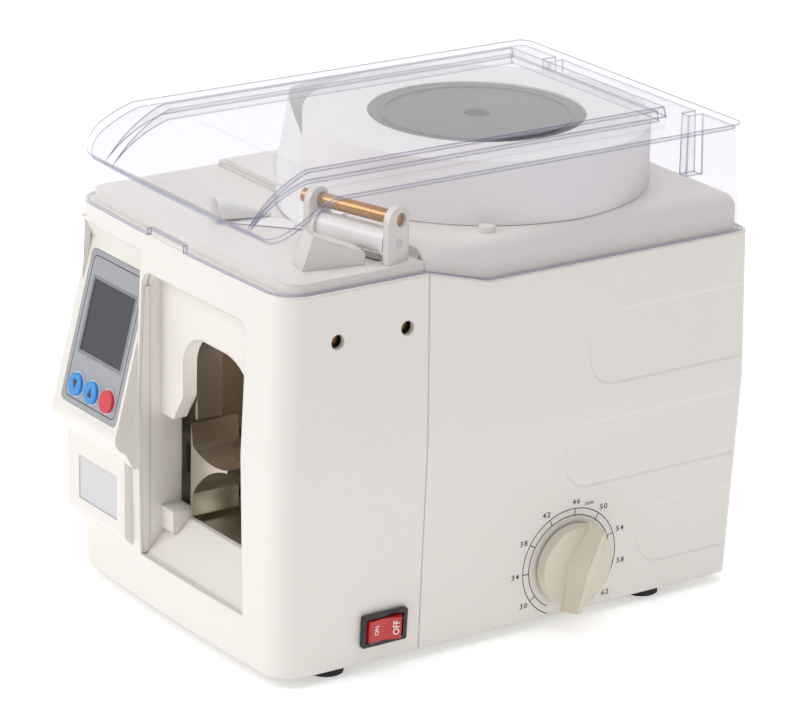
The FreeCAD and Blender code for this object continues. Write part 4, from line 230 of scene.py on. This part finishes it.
def clear_plastic():
    """Clear moulding: light passes straight through; edges and steep faces turn lilac grey."""
    mat = bpy.data.materials.new("clear_plastic")
    mat.use_nodes = True
    tree = mat.node_tree
    tree.nodes.remove(tree.nodes["Principled BSDF"])
    out = tree.nodes["Material Output"]
    mottle = node(tree, "ShaderNodeGroup")
    mottle.node_tree = MOTTLE
    for label, value in (("Color", (0.952, 0.948, 0.962, 1)), ("Amount", 0.01), ("Scale", 20.0),
                         ("Roughness", 0.06), ("Spread", 0.03)):
        mottle.inputs[label].default_value = value
    bevel = node(tree, "ShaderNodeBevel", {"Radius": 1.6 * MM}, samples=4)
    plain = node(tree, "ShaderNodeNewGeometry")
    through = node(tree, "ShaderNodeBsdfTransparent")
    tree.links.new(mottle.outputs["Color"], through.inputs["Color"])
    rim = node(tree, "ShaderNodeBsdfPrincipled", {"Base Color": srgb(118, 116, 150), "Roughness": 0.15})
    dot = node(tree, "ShaderNodeVectorMath", operation="DOT_PRODUCT")
    tree.links.new(bevel.outputs["Normal"], dot.inputs[0])
    tree.links.new(plain.outputs["Normal"], dot.inputs[1])
    edge = node(tree, "ShaderNodeMapRange",
                {"From Min": 0.985, "From Max": 0.93, "To Min": 0.0, "To Max": 1.0})
    tree.links.new(dot.outputs["Value"], edge.inputs["Value"])
    body = node(tree, "ShaderNodeMixShader")
    tree.links.new(edge.outputs["Result"], body.inputs[0])
    tree.links.new(through.outputs[0], body.inputs[1])
    tree.links.new(rim.outputs[0], body.inputs[2])
    sheen = node(tree, "ShaderNodeBsdfGlossy", {"Color": (1, 1, 1, 1)})
    tree.links.new(mottle.outputs["Roughness"], sheen.inputs["Roughness"])
    tree.links.new(bevel.outputs["Normal"], sheen.inputs["Normal"])
    steep = node(tree, "ShaderNodeLayerWeight", {"Blend": 0.5})
    curve = node(tree, "ShaderNodeMath", {1: 4.0}, operation="POWER")
    tree.links.new(steep.outputs["Facing"], curve.inputs[0])
    angle = node(tree, "ShaderNodeMath", {1: 0.5, 2: 0.03}, operation="MULTIPLY_ADD")
    tree.links.new(curve.outputs[0], angle.inputs[0])
    both = node(tree, "ShaderNodeMixShader")
    tree.links.new(angle.outputs[0], both.inputs[0])
    tree.links.new(body.outputs[0], both.inputs[1])
    tree.links.new(sheen.outputs[0], both.inputs[2])
    path = node(tree, "ShaderNodeLightPath")
    shade = node(tree, "ShaderNodeBsdfTransparent", {"Color": (0.97, 0.97, 0.97, 1)})
    last = node(tree, "ShaderNodeMixShader")
    tree.links.new(path.outputs["Is Shadow Ray"], last.inputs[0])
    tree.links.new(both.outputs[0], last.inputs[1])
    tree.links.new(shade.outputs[0], last.inputs[2])
    tree.links.new(last.outputs[0], out.inputs["Surface"])
    return mat


# %% [markdown]
# ### The paper roll
# The flat face of a roll shows its wound layers as rings. The distance from the roll's axis feeds a
# one-dimensional noise, which gives rings of uneven strength at any distance.

# %%


def paper_roll():
    """White tape: rings of wound layers on the flat face and fine lines round the side."""
    mat = surface("wound_paper", srgb(243, 240, 240), 0.75, amount=0.03, scale=35.0, strength=0.06)
    tree = mat.node_tree
    shader = tree.nodes["Principled BSDF"]
    where = node(tree, "ShaderNodeTexCoord")
    centre = at(0, 0, 0)
    shift = node(tree, "ShaderNodeVectorMath", {1: (-centre.x, -centre.y, 0)}, operation="ADD")
    tree.links.new(where.outputs["Object"], shift.inputs[0])
    flat = node(tree, "ShaderNodeVectorMath", {1: (1, 1, 0)}, operation="MULTIPLY")
    tree.links.new(shift.outputs[0], flat.inputs[0])
    radius = node(tree, "ShaderNodeVectorMath", operation="LENGTH")
    tree.links.new(flat.outputs[0], radius.inputs[0])
    rings = node(tree, "ShaderNodeTexNoise", {"Scale": 900.0, "Detail": 2.0}, noise_dimensions="1D")
    tree.links.new(radius.outputs["Value"], rings.inputs["W"])
    band = node(tree, "ShaderNodeMapRange",
                {"From Min": 0.35, "From Max": 0.65, "To Min": 0.94, "To Max": 1.0})
    tree.links.new(rings.outputs["Fac"], band.inputs["Value"])
    tint = node(tree, "ShaderNodeVectorMath", operation="SCALE")
    mottle = next(n for n in tree.nodes if n.bl_idname == "ShaderNodeGroup" and n.node_tree == MOTTLE)
    tree.links.new(mottle.outputs["Color"], tint.inputs[0])
    tree.links.new(band.outputs["Result"], tint.inputs["Scale"])
    tree.links.new(tint.outputs[0], shader.inputs["Base Color"])
    return mat


# %% [markdown]
# ### Shallow pads in the right wall
# The real wall has three very shallow pads with rounded ends. The distance to a rounded box gives their
# outline, and a bump sinks it by less than half a millimetre.

# %%
CREAM = srgb(231, 226, 220)
# recessed pads of the right wall: front, rear, low and high edges in mm, corner radius
PADS = ((1.2, 120.0, 109.6, 143.0, 14.0), (-10.0, 120.0, 63.4, 93.5, 14.0), (32.7, 120.0, 19.0, 47.5, 14.0))


def add_pads(mat):
    """Sinks the pads into the right wall with a bump from their distance fields."""
    tree = mat.node_tree
    link = tree.links.new
    where = node(tree, "ShaderNodeTexCoord")
    lowest = None
    for y0, y1, z0, z1, r in PADS:
        low, high = at(0, y0, z0), at(0, y1, z1)
        mid = (low + high) / 2
        half = (high - low) / 2 - Vector((0, r, r)) * MM
        off = node(tree, "ShaderNodeVectorMath", {1: (0, -mid.y, -mid.z)}, operation="ADD")
        link(where.outputs["Object"], off.inputs[0])
        flat = node(tree, "ShaderNodeVectorMath", {1: (0, 1, 1)}, operation="MULTIPLY")
        link(off.outputs[0], flat.inputs[0])
        size = node(tree, "ShaderNodeVectorMath", operation="ABSOLUTE")
        link(flat.outputs[0], size.inputs[0])
        out = node(tree, "ShaderNodeVectorMath", {1: (0, half.y, half.z)}, operation="SUBTRACT")
        link(size.outputs[0], out.inputs[0])
        over = node(tree, "ShaderNodeVectorMath", {1: (0, 0, 0)}, operation="MAXIMUM")
        link(out.outputs[0], over.inputs[0])
        reach = node(tree, "ShaderNodeVectorMath", operation="LENGTH")
        link(over.outputs[0], reach.inputs[0])
        rise = node(tree, "ShaderNodeMapRange", {"From Min": (r - 0.9) * MM, "From Max": (r + 0.9) * MM},
                    interpolation_type="SMOOTHSTEP")
        link(reach.outputs["Value"], rise.inputs["Value"])
        if lowest is None:
            lowest = rise.outputs["Result"]
        else:
            both = node(tree, "ShaderNodeMath", operation="MINIMUM")
            link(lowest, both.inputs[0])
            link(rise.outputs["Result"], both.inputs[1])
            lowest = both.outputs[0]
    split = node(tree, "ShaderNodeSeparateXYZ")
    link(where.outputs["Object"], split.inputs[0])
    right = node(tree, "ShaderNodeMath", {1: 0.07}, operation="GREATER_THAN")
    link(split.outputs["X"], right.inputs[0])
    flip = node(tree, "ShaderNodeMath", {0: 1.0}, operation="SUBTRACT")
    link(right.outputs[0], flip.inputs[1])
    height = node(tree, "ShaderNodeMath", operation="MAXIMUM")
    link(lowest, height.inputs[0])
    link(flip.outputs[0], height.inputs[1])
    bump = node(tree, "ShaderNodeBump", {"Distance": 0.4 * MM, "Strength": 1.0})
    link(height.outputs[0], bump.inputs["Height"])
    grain = next(n for n in tree.nodes if n.bl_idname == "ShaderNodeGroup" and n.node_tree == GRAIN)
    link(grain.inputs["Normal"].links[0].from_socket, bump.inputs["Normal"])
    link(bump.outputs["Normal"], grain.inputs["Normal"])


# %% [markdown]
# ### A material for every slot of the CAD
# Each CAD node names a slot, and this table gives every slot its finish.

# %%
LOOKS = {
    "strip_paper": surface("strip_paper", srgb(244, 242, 241), 0.7, amount=0.02, scale=50.0,
                           strength=0.04, sub=0.1),
    "case_plastic": surface("case_cream", CREAM, 0.38, amount=0.02, scale=9.0, strength=0.006,
                            edge=1.2, coat=0.1, sub=0.08),
    "lid_plastic": clear_plastic(),
    "bright_steel": surface("bright_steel", srgb(190, 190, 188), 0.22, 1.0, strength=0.08,
                            stretch=(1, 40, 1)),
    "tape_paper": paper_roll(),
    "dark_plastic": surface("core_grey", srgb(74, 75, 80), 0.42, amount=0.08, strength=0.05, edge=0.6),
    "zinc_steel": surface("zinc_steel", srgb(170, 170, 162), 0.35, 1.0, amount=0.15, scale=120.0),
    "white_plastic": surface("white_acetal", srgb(238, 236, 234), 0.3, strength=0.03, edge=0.4, sub=0.1),
    "brass_pin": surface("turned_brass", srgb(168, 128, 84), 0.28, 1.0, strength=0.12, stretch=(60, 1, 1)),
    "overlay_film": surface("overlay_silver", srgb(160, 161, 166), 0.4, amount=0.05, scale=300.0,
                            strength=0.08),
    "lcd_glass": surface("lcd_glass", srgb(46, 47, 56), 0.4, amount=0.1, scale=14.0, strength=0.0),
    "blue_button": surface("button_blue", srgb(44, 140, 214), 0.25, edge=0.9, strength=0.04),
    "red_button": surface("button_red", srgb(206, 44, 54), 0.25, edge=0.9, strength=0.04),
    "board_green": surface("board_green", srgb(24, 92, 52), 0.35, amount=0.2, scale=200.0),
    "label_film": surface("label_film", srgb(206, 205, 207), 0.45, strength=0.03),
    "black_plastic": surface("black_gloss", srgb(22, 20, 20), 0.25, strength=0.03, edge=0.5),
    "rocker_red": surface("rocker_red", srgb(190, 28, 24), 0.22, strength=0.03, edge=0.6, coat=0.3),
    "knob_cream": surface("knob_cream", srgb(222, 213, 197), 0.42, strength=0.05, edge=1.0, sub=0.08),
    "zinc_sheet": surface("zinc_sheet", srgb(176, 172, 160), 0.34, 1.0, amount=0.2, scale=70.0),
    "foot_rubber": surface("foot_rubber", srgb(24, 24, 24), 0.75, strength=0.3),
    "polished_steel": surface("polished_steel", srgb(196, 188, 176), 0.2, 0.9, amount=0.2, scale=50.0,
                              strength=0.1, stretch=(1, 1, 30)),
    "dark_steel": surface("dark_steel", srgb(58, 56, 54), 0.4, 0.7, amount=0.2, scale=100.0),
    "alu_block": surface("milled_aluminium", srgb(184, 184, 184), 0.3, 1.0, strength=0.15,
                         stretch=(1, 30, 1)),
    "stop_plate": surface("stop_brown", srgb(176, 150, 124), 0.42, 0.2, amount=0.12, scale=40.0),
    "roller_rubber": surface("roller_rubber", srgb(34, 33, 32), 0.65, strength=0.2),
}
add_pads(LOOKS["case_plastic"])
SLOTS = {s["node"]: s["material_slot"] for s in frame["record"]["subparts"]}
for name, obj in frame["nodes"].items():
    for i in range(max(1, len(obj.material_slots))):
        if i < len(obj.material_slots):
            obj.material_slots[i].material = LOOKS[SLOTS[name]]
        else:
            obj.data.materials.append(LOOKS[SLOTS[name]])
print(len(frame["nodes"]), "nodes have", len(LOOKS), "materials to choose from")

# %% [markdown]
# ## Soft tape
# The loose end of the tape stands where it leaves the roll, twists flat on the deck and ends in a curl.
# Cloth simulation could make it, but the shape in the photograph is exact, so both edges are drawn as
# curves and the paper is the surface between them.

# %%
TAPE_W = 28.0
FRONT_DECK = 180.0


def new_piece(name, verts, faces, mat, body, slot, smooth=True):
    mesh = bpy.data.meshes.new(name)
    mesh.from_pydata([tuple(v) for v in verts], [], faces)
    mesh.validate()
    mesh.shade_smooth() if smooth else mesh.shade_flat()
    mesh.materials.append(mat)
    obj = bpy.data.objects.new(name, mesh)
    scene.collection.objects.link(obj)
    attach(obj, body)
    return obj


def spline(points, t):
    """Catmull-Rom curve through lists of numbers."""
    n = len(points) - 1
    i = min(int(t * n), n - 1)
    f = t * n - i
    p = [Vector(points[min(max(k, 0), n)]) for k in (i - 1, i, i + 1, i + 2)]
    return 0.5 * (2 * p[1] + (p[2] - p[0]) * f + (2 * p[0] - 5 * p[1] + 4 * p[2] - p[3]) * f * f
                  + (3 * p[1] - p[0] - 3 * p[2] + p[3]) * f ** 3)


def tape_rows():
    """Pairs of lower and upper edge, mm: standing by the roll, then falling over to the right."""
    top = TAPE_W + DECK + 0.6
    low = [(-77.9, -8, 184.6), (-78.0, -26, 184.6), (-77.5, -42, 184.6), (-72.5, -56, 184.7),
           (-58, -68, 184.8), (-36, -82, 183.4), (-10, -97, 181.2), (16, -104, 180.7)]
    high = [(-77.9, -8, top), (-78.2, -26, top), (-77.0, -42, top), (-69.5, -54, top - 1),
            (-51, -59, top - 14), (-28, -66, 190.0), (2, -78, 185.6), (22, -83, 184.8)]
    return [[spline(low, i / 60), spline(high, i / 60)] for i in range(61)]


def strip_mesh(rows, across=8):
    verts, faces = [], []
    for a, b in rows:
        for j in range(across + 1):
            verts.append(at(*a.lerp(b, j / across)))
    for i in range(len(rows) - 1):
        for j in range(across):
            k = i * (across + 1) + j
            faces.append((k, k + 1, k + across + 2, k + across + 1))
    return verts, faces


CURL_TURNS, CURL_TIGHTENS, CURL_LIFT = 1.35, 0.17, 0.4
CURL_ENDS = ((Vector((-9.0, -130.5, FRONT_DECK)), 5.6), (Vector((-3.0, -106.0, FRONT_DECK)), 1.0))
FLAT_FRONT, FLAT_REAR = Vector((20.0, -104.0, 180.6)), Vector((24.0, -92.0, 180.8))


def curl_rows():
    """A cone of tape, wide at the front and closing towards the flat part."""
    along = (CURL_ENDS[1][0] - CURL_ENDS[0][0]).normalized()
    side = Vector((along.y, -along.x, 0))
    rows = []
    for i in range(81):
        t = i / 80
        turn = -math.pi / 2 - t * 2 * math.pi * CURL_TURNS
        pair = []
        for centre, r0 in CURL_ENDS:
            r = r0 * (1 - CURL_TIGHTENS * t)
            mid = centre + Vector((0, 0, r0 + CURL_LIFT))
            pair.append(mid + side * (math.cos(turn) * r) + Vector((0, 0, math.sin(turn) * r)))
        rows.append(pair)
    flat = []
    for i in range(12):
        t = i / 12
        flat.append([FLAT_FRONT.lerp(rows[0][0], t), FLAT_REAR.lerp(rows[0][1], t)])
    return flat + rows


for name, rows in (("tape_lead", tape_rows()), ("tape_curl", curl_rows())):
    piece = new_piece(name, *strip_mesh(rows), LOOKS["strip_paper"], "case", "tape_paper")
    skin = piece.modifiers.new("thickness", "SOLIDIFY")
    skin.thickness = 0.12 * MM
    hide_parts("loose_strip")
    print(name, len(rows), "rows")

# %% [markdown]
# ## Joint lines of the case
# On the real case the bay runs into the front without a gap, and so does the step between the two
# decks. Two thin lips close those lines, each with a wall of its own: the bay lip follows the moulding
# beside it, found by a ray, and the deck lip is a straight strip at the seam.

# %%
LIP_WALL = 0.3
BAY_MOUTH = [(-24.8, 151.0), (-24.8, 27.2), (56.8, 27.2), (56.8, 151.0)]
BAY_STEPS = 40
OUT_OF_MOUTH = 1.5
INTO_SKIN = 1.1
DECK_LIP_HALF, DECK_STEPS = 77.5, 30
SEAM_Y, DECK_LIP_LOW, DECK_LIP_HIGH = -84.0, 179.7, 182.2


def mouth_rows():
    """Front and rear edge of the lip round the bay mouth, mm."""
    rows = []
    for (x0, z0), (x1, z1) in zip(BAY_MOUTH, BAY_MOUTH[1:]):
        off_x = OUT_OF_MOUTH * ((x0 > 0) - (x0 < 0)) if x0 == x1 else 0.0
        off_z = -OUT_OF_MOUTH if z0 == z1 else 0.0
        for i in range(BAY_STEPS + 1):
            x, z = x0 + (x1 - x0) * i / BAY_STEPS, z0 + (z1 - z0) * i / BAY_STEPS
            start = at(x + off_x, -230.0, z + off_z)
            hit, where, _, _ = frame["nodes"]["front_cover"].ray_cast(start, Vector((0, 1, 0)))
            front = (where.y / MM - ORIGIN.y if hit else -157.0) + INTO_SKIN
            rows.append([Vector((x, front, z)), Vector((x, -153.0, z))])
    return rows


def deck_rows():
    """Lower and upper edge of the lip between the decks, mm."""
    places = [-DECK_LIP_HALF + 2 * DECK_LIP_HALF * i / DECK_STEPS for i in range(DECK_STEPS + 1)]
    return [[Vector((x, SEAM_Y, DECK_LIP_LOW)), Vector((x, SEAM_Y, DECK_LIP_HIGH))] for x in places]


for name, rows in (("bay_lip", mouth_rows()), ("deck_lip", deck_rows())):
    skin = strip_mesh(rows, across=2)
    lip = new_piece(name, *skin, LOOKS["case_plastic"], "case", "case_plastic", smooth=False)
    wall = lip.modifiers.new("wall", "SOLIDIFY")
    wall.thickness = LIP_WALL * MM
    wall.offset = 0.0
    edges = [row[0].y for row in rows]
    print(name, len(rows), "rows, front edge from", round(min(edges), 1), "to", round(max(edges), 1), "mm")

# %% [markdown]
# ## Printing
# Printed marks could be a picture, but real geometry stays sharp at any distance. Each mark is drawn
# flat, and every one of its points is then laid on the CAD surface beneath it by a ray.

# %%
INK = surface("print_black", srgb(44, 44, 48), 0.5, strength=0.02)
WHITE_INK = surface("print_white", srgb(245, 242, 240), 0.45, strength=0.02)
RIM_GREY = surface("window_rim", srgb(128, 130, 136), 0.35, strength=0.03)


def cast(nodes, start, way):
    """First point met on any of the named CAD nodes."""
    best = None
    for name in nodes:
        hit, where, _, _ = frame["nodes"][name].ray_cast(start, way)
        if hit and (best is None or (where - start).length < (best - start).length):
            best = where
    return best


def lay(name, flat, faces, place, way, nodes, mat, body, slot, lift=0.04):
    """Lays flat (u, v) points, mm, on the nodes: place gives a start point, way the direction."""
    verts = []
    for u, v in flat:
        start = place(u, v)
        spot = cast(nodes, start, way)
        if spot is None:
            spot = start + way * 0.02
        verts.append(spot - way * lift * MM)
    return new_piece(name, verts, faces, mat, body, slot, smooth=False)


class Ink:
    """Flat shapes gathered as points and faces, mm."""

    def __init__(self):
        self.points, self.faces = [], []

    def quad_path(self, left, right, close=False):
        k = len(self.points)
        n = len(left)
        for a, b in zip(left, right):
            self.points += [a, b]
        for i in range(n if close else n - 1):
            j = (i + 1) % n
            self.faces.append((k + 2 * i, k + 2 * i + 1, k + 2 * j + 1, k + 2 * j))

    def arc(self, u, v, radius, start, stop, width):
        """Clockwise arc; angles in degrees from the top."""
        n = max(2, int(abs(stop - start) / 3))
        turns = [math.radians(start + (stop - start) * i / n) for i in range(n + 1)]
        near, far = radius - width / 2, radius + width / 2
        inner = [(u + math.sin(t) * near, v + math.cos(t) * near) for t in turns]
        outer = [(u + math.sin(t) * far, v + math.cos(t) * far) for t in turns]
        self.quad_path(inner, outer)

    def bar(self, a, b, width):
        a, b = Vector(a), Vector(b)
        across = Vector((a.y - b.y, b.x - a.x)).normalized() * width / 2
        self.quad_path([tuple(a - across), tuple(b - across)], [tuple(a + across), tuple(b + across)])

    def polygon(self, corners):
        k = len(self.points)
        self.points += corners
        self.faces.append(tuple(range(k, k + len(corners))))

    def text(self, words, u, v, size, turn=0.0, space=1.0, wide=1.0, bold=0.0):
        curve = bpy.data.curves.new("words", "FONT")
        curve.body, curve.size, curve.space_character = words, size, space
        curve.align_x, curve.align_y, curve.offset = "CENTER", "CENTER", bold
        curve.resolution_u = 3
        holder = bpy.data.objects.new("words", curve)
        mesh = bpy.data.meshes.new_from_object(holder)
        k = len(self.points)
        c, s = math.cos(turn), math.sin(turn)
        for p in mesh.vertices:
            x, y = p.co.x * wide, p.co.y
            self.points.append((u + x * c - y * s, v + x * s + y * c))
        self.faces += [tuple(k + i for i in f.vertices) for f in mesh.polygons]
        bpy.data.objects.remove(holder)
        bpy.data.meshes.remove(mesh)
        bpy.data.curves.remove(curve)


def rounded(u0, v0, u1, v1, radius, n=8):
    """Corners of a rounded rectangle, anticlockwise from the lower right."""
    ring = []
    near, far, low, high = u0 + radius, u1 - radius, v0 + radius, v1 - radius
    for cu, cv, start in ((far, low, -90), (far, high, 0), (near, high, 90), (near, low, 180)):
        for i in range(n + 1):
            t = math.radians(start + 90 * i / n)
            ring.append((cu + radius * math.cos(t), cv + radius * math.sin(t)))
    return ring


def frame_ring(ink, u0, v0, u1, v1, radius, width):
    inner_radius = max(0.2, radius - width)
    inside = rounded(u0 + width, v0 + width, u1 - width, v1 - width, inner_radius)
    ink.quad_path(rounded(u0, v0, u1, v1, radius), inside, close=True)


# %% [markdown]
# ### The dial's scale and the rocker's words
# The scale is two arcs with nine marks between them, and the knob turns over it.

# %%
LEFTWARD = Vector((-1, 0, 0))
DIAL_Y, DIAL_Z = -4.6, 29.0
dial = Ink()
OUTER_ARC, INNER_ARC, DIAL_LINE = 25.1, 21.9, 0.42
DIAL_STEP, DIAL_MIDDLE = 32.4, 4
dial.arc(DIAL_Y, DIAL_Z, OUTER_ARC, -155, 146, DIAL_LINE)
dial.arc(DIAL_Y, DIAL_Z, INNER_ARC, -150, 124, DIAL_LINE)
for i, number in enumerate(range(30, 63, 4)):
    turn = math.radians(DIAL_MIDDLE - 4 * DIAL_STEP + i * DIAL_STEP)
    c, s = math.cos(turn), math.sin(turn)
    inner = (DIAL_Y + INNER_ARC * s, DIAL_Z + INNER_ARC * c)
    outer = (DIAL_Y + OUTER_ARC * s, DIAL_Z + OUTER_ARC * c)
    dial.bar(inner, outer, DIAL_LINE)
    dial.text(str(number), DIAL_Y + 29.2 * s, DIAL_Z + 28.2 * c, 3.5, space=1.2, wide=1.12, bold=0.05)
turn = math.radians(19)
dial.text("mm", DIAL_Y + 28.6 * math.sin(turn), DIAL_Z + 27.8 * math.cos(turn), 3.0, space=1.1, bold=0.05)
lay("dial_print", dial.points, dial.faces, lambda u, v: at(110, u, v), LEFTWARD, ["body_shell"], INK, "case",
    "dark_plastic")

rocker = Ink()
rocker.text("OFF", -99.0, 20.2, 3.9, turn=math.pi / 2, space=1.0, bold=0.02)
rocker.text("ON", -108.2, 20.2, 2.9, turn=math.pi / 2, space=1.0, bold=0.02)
lay("rocker_print", rocker.points, rocker.faces, lambda u, v: at(110, u, v), LEFTWARD, ["switch_rocker"],
    WHITE_INK, "rocker", "white_plastic")

print("dial print:", len(dial.faces), "faces; rocker print:", len(rocker.faces), "faces")

# %% [markdown]
# ### The display panel
# The panel leans back, so its marks are laid along the panel's own normal.

# %%
INWARD = Vector((0, math.cos(LEAN), -math.sin(LEAN)))


def on_panel(u, v):
    """Start point before the panel; v runs down the panel from its top edge."""
    foot = at(u, -149.9 - v * math.sin(LEAN), 158.4 - v * math.cos(LEAN))
    return foot - INWARD * 0.02


outline = Ink()
frame_ring(outline, -73.9, 7.2, -31.4, 71.8, 3.0, 0.45)
lay("panel_outline", outline.points, outline.faces, on_panel, INWARD, ["display_overlay"], INK, "case",
    "dark_plastic")
# The pale rings round the three buttons are a painted highlight: the light that the rims of the domed
# buttons would catch.
PAINTED_RIM_HIGHLIGHT = surface("painted_button_highlight", srgb(206, 210, 220), 0.3, strength=0.02)
HIGHLIGHT_RING_RADIUS, HIGHLIGHT_RING_WIDTH = 5.5, 0.8
ring = Ink()
BUTTONS_U, BUTTON_V = (-65.5, -52.3, -39.1), 65.0
for u in BUTTONS_U:
    ring.arc(u, BUTTON_V, HIGHLIGHT_RING_RADIUS, 0, 360, HIGHLIGHT_RING_WIDTH)
lay("painted_button_highlights", ring.points, ring.faces, on_panel, INWARD, ["display_overlay"], PAINTED_RIM_HIGHLIGHT, "case",
    "overlay_film")
rim = Ink()
frame_ring(rim, -71.2, 15.8, -33.6, 51.5, 1.2, 1.5)
lay("window_rim", rim.points, rim.faces, on_panel, INWARD, ["display_overlay"], RIM_GREY, "case",
    "overlay_film")
MARKS = (("mark_down", "key_down", BUTTONS_U[0], 1), ("mark_up", "key_up", BUTTONS_U[1], -1))
for name, body, u, sign in MARKS:
    mark = Ink()
    base, tip = BUTTON_V - 2.1 * sign, BUTTON_V + 2.3 * sign
    mark.polygon([(u - 1.9, base), (u + 1.9, base), (u, tip)])
    lay(name, mark.points, mark.faces, on_panel, INWARD, [body.replace("key_", "") + "_button"], INK, body,
        "dark_plastic")

# %% [markdown]
# ## Studio
# A pale floor that fades into a white background, with large soft lights. White comes from what the
# camera sees of the floor and the world, and not from more light on the machine.

# %%
bpy.ops.mesh.primitive_plane_add(size=6.0, location=(0, 0, 0))
floor = bpy.context.object
floor.name = "floor"
floor_mat = surface("studio_floor", (0.93, 0.93, 0.93, 1), 0.6, amount=0.01, scale=3.0, strength=0.01)
shine = floor_mat.node_tree.nodes["Principled BSDF"]
shine.inputs["Emission Color"].default_value = (1, 1, 1, 1)
shine.inputs["Emission Strength"].default_value = 0.42
floor.data.materials.append(floor_mat)

# %% [markdown]
# ### Lights
# One large key lamp from the front left, a weak fill from the right and one above. The bay is deep and
# would be black, so two very weak bulbs inside it and a narrow spot stand in for light that bounces in.

# %%


def area_light(name, where, target, size, power, tint=(1, 1, 1)):
    data = bpy.data.lights.new(name, "AREA")
    data.energy, data.size, data.color = power, size, tint
    lamp = bpy.data.objects.new(name, data)
    lamp.location = where
    lamp.rotation_euler = (Vector(target) - Vector(where)).to_track_quat("-Z", "Y").to_euler()
    scene.collection.objects.link(lamp)
    return lamp


area_light("key", (-0.7, -1.9, 1.5), (0, 0, 0.1), 1.2, 22)
area_light("fill", (1.9, -0.4, 0.8), (0, 0, 0.1), 1.4, 2.0)
area_light("top", (0.0, 0.1, 1.9), (0, 0, 0.1), 1.6, 16)
for name, place, power in (("bay_high", (18, -118, 128), 0.028), ("bay_low", (12, -118, 52), 0.003)):
    bulb = bpy.data.lights.new(name, "POINT")
    bulb.energy, bulb.shadow_soft_size = power, 0.006
    inner = bpy.data.objects.new(name, bulb)
    inner.location = at(*place)
    inner.visible_camera = False
    scene.collection.objects.link(inner)
glow = bpy.data.lights.new("bay_glow", "SPOT")
glow.energy, glow.spot_size = 1.6, math.radians(6)
glow.spot_blend, glow.shadow_soft_size = 0.3, 0.02
lamp = bpy.data.objects.new("bay_glow", glow)
lamp.location = at(120, -700, 130)
lamp.rotation_euler = (at(8, -134, 84) - lamp.location).to_track_quat("-Z", "Y").to_euler()
scene.collection.objects.link(lamp)

# %% [markdown]
# ### World
# The world is white to the camera and in reflections, and weaker as light, so pale plastic keeps its
# colour.

# %%
world = bpy.data.worlds.new("studio")
scene.world = world
world.use_nodes = True
tree = world.node_tree
shade = tree.nodes["Background"]
shade.inputs["Color"].default_value = (1, 1, 1, 1)
path = node(tree, "ShaderNodeLightPath")
seen = node(tree, "ShaderNodeMath", operation="MAXIMUM")
tree.links.new(path.outputs["Is Camera Ray"], seen.inputs[0])
tree.links.new(path.outputs["Is Glossy Ray"], seen.inputs[1])
power = node(tree, "ShaderNodeMapRange", {"To Min": 0.36, "To Max": 1.0})
tree.links.new(seen.outputs[0], power.inputs["Value"])
tree.links.new(power.outputs["Result"], shade.inputs["Strength"])
scene.view_settings.view_transform = "Standard"
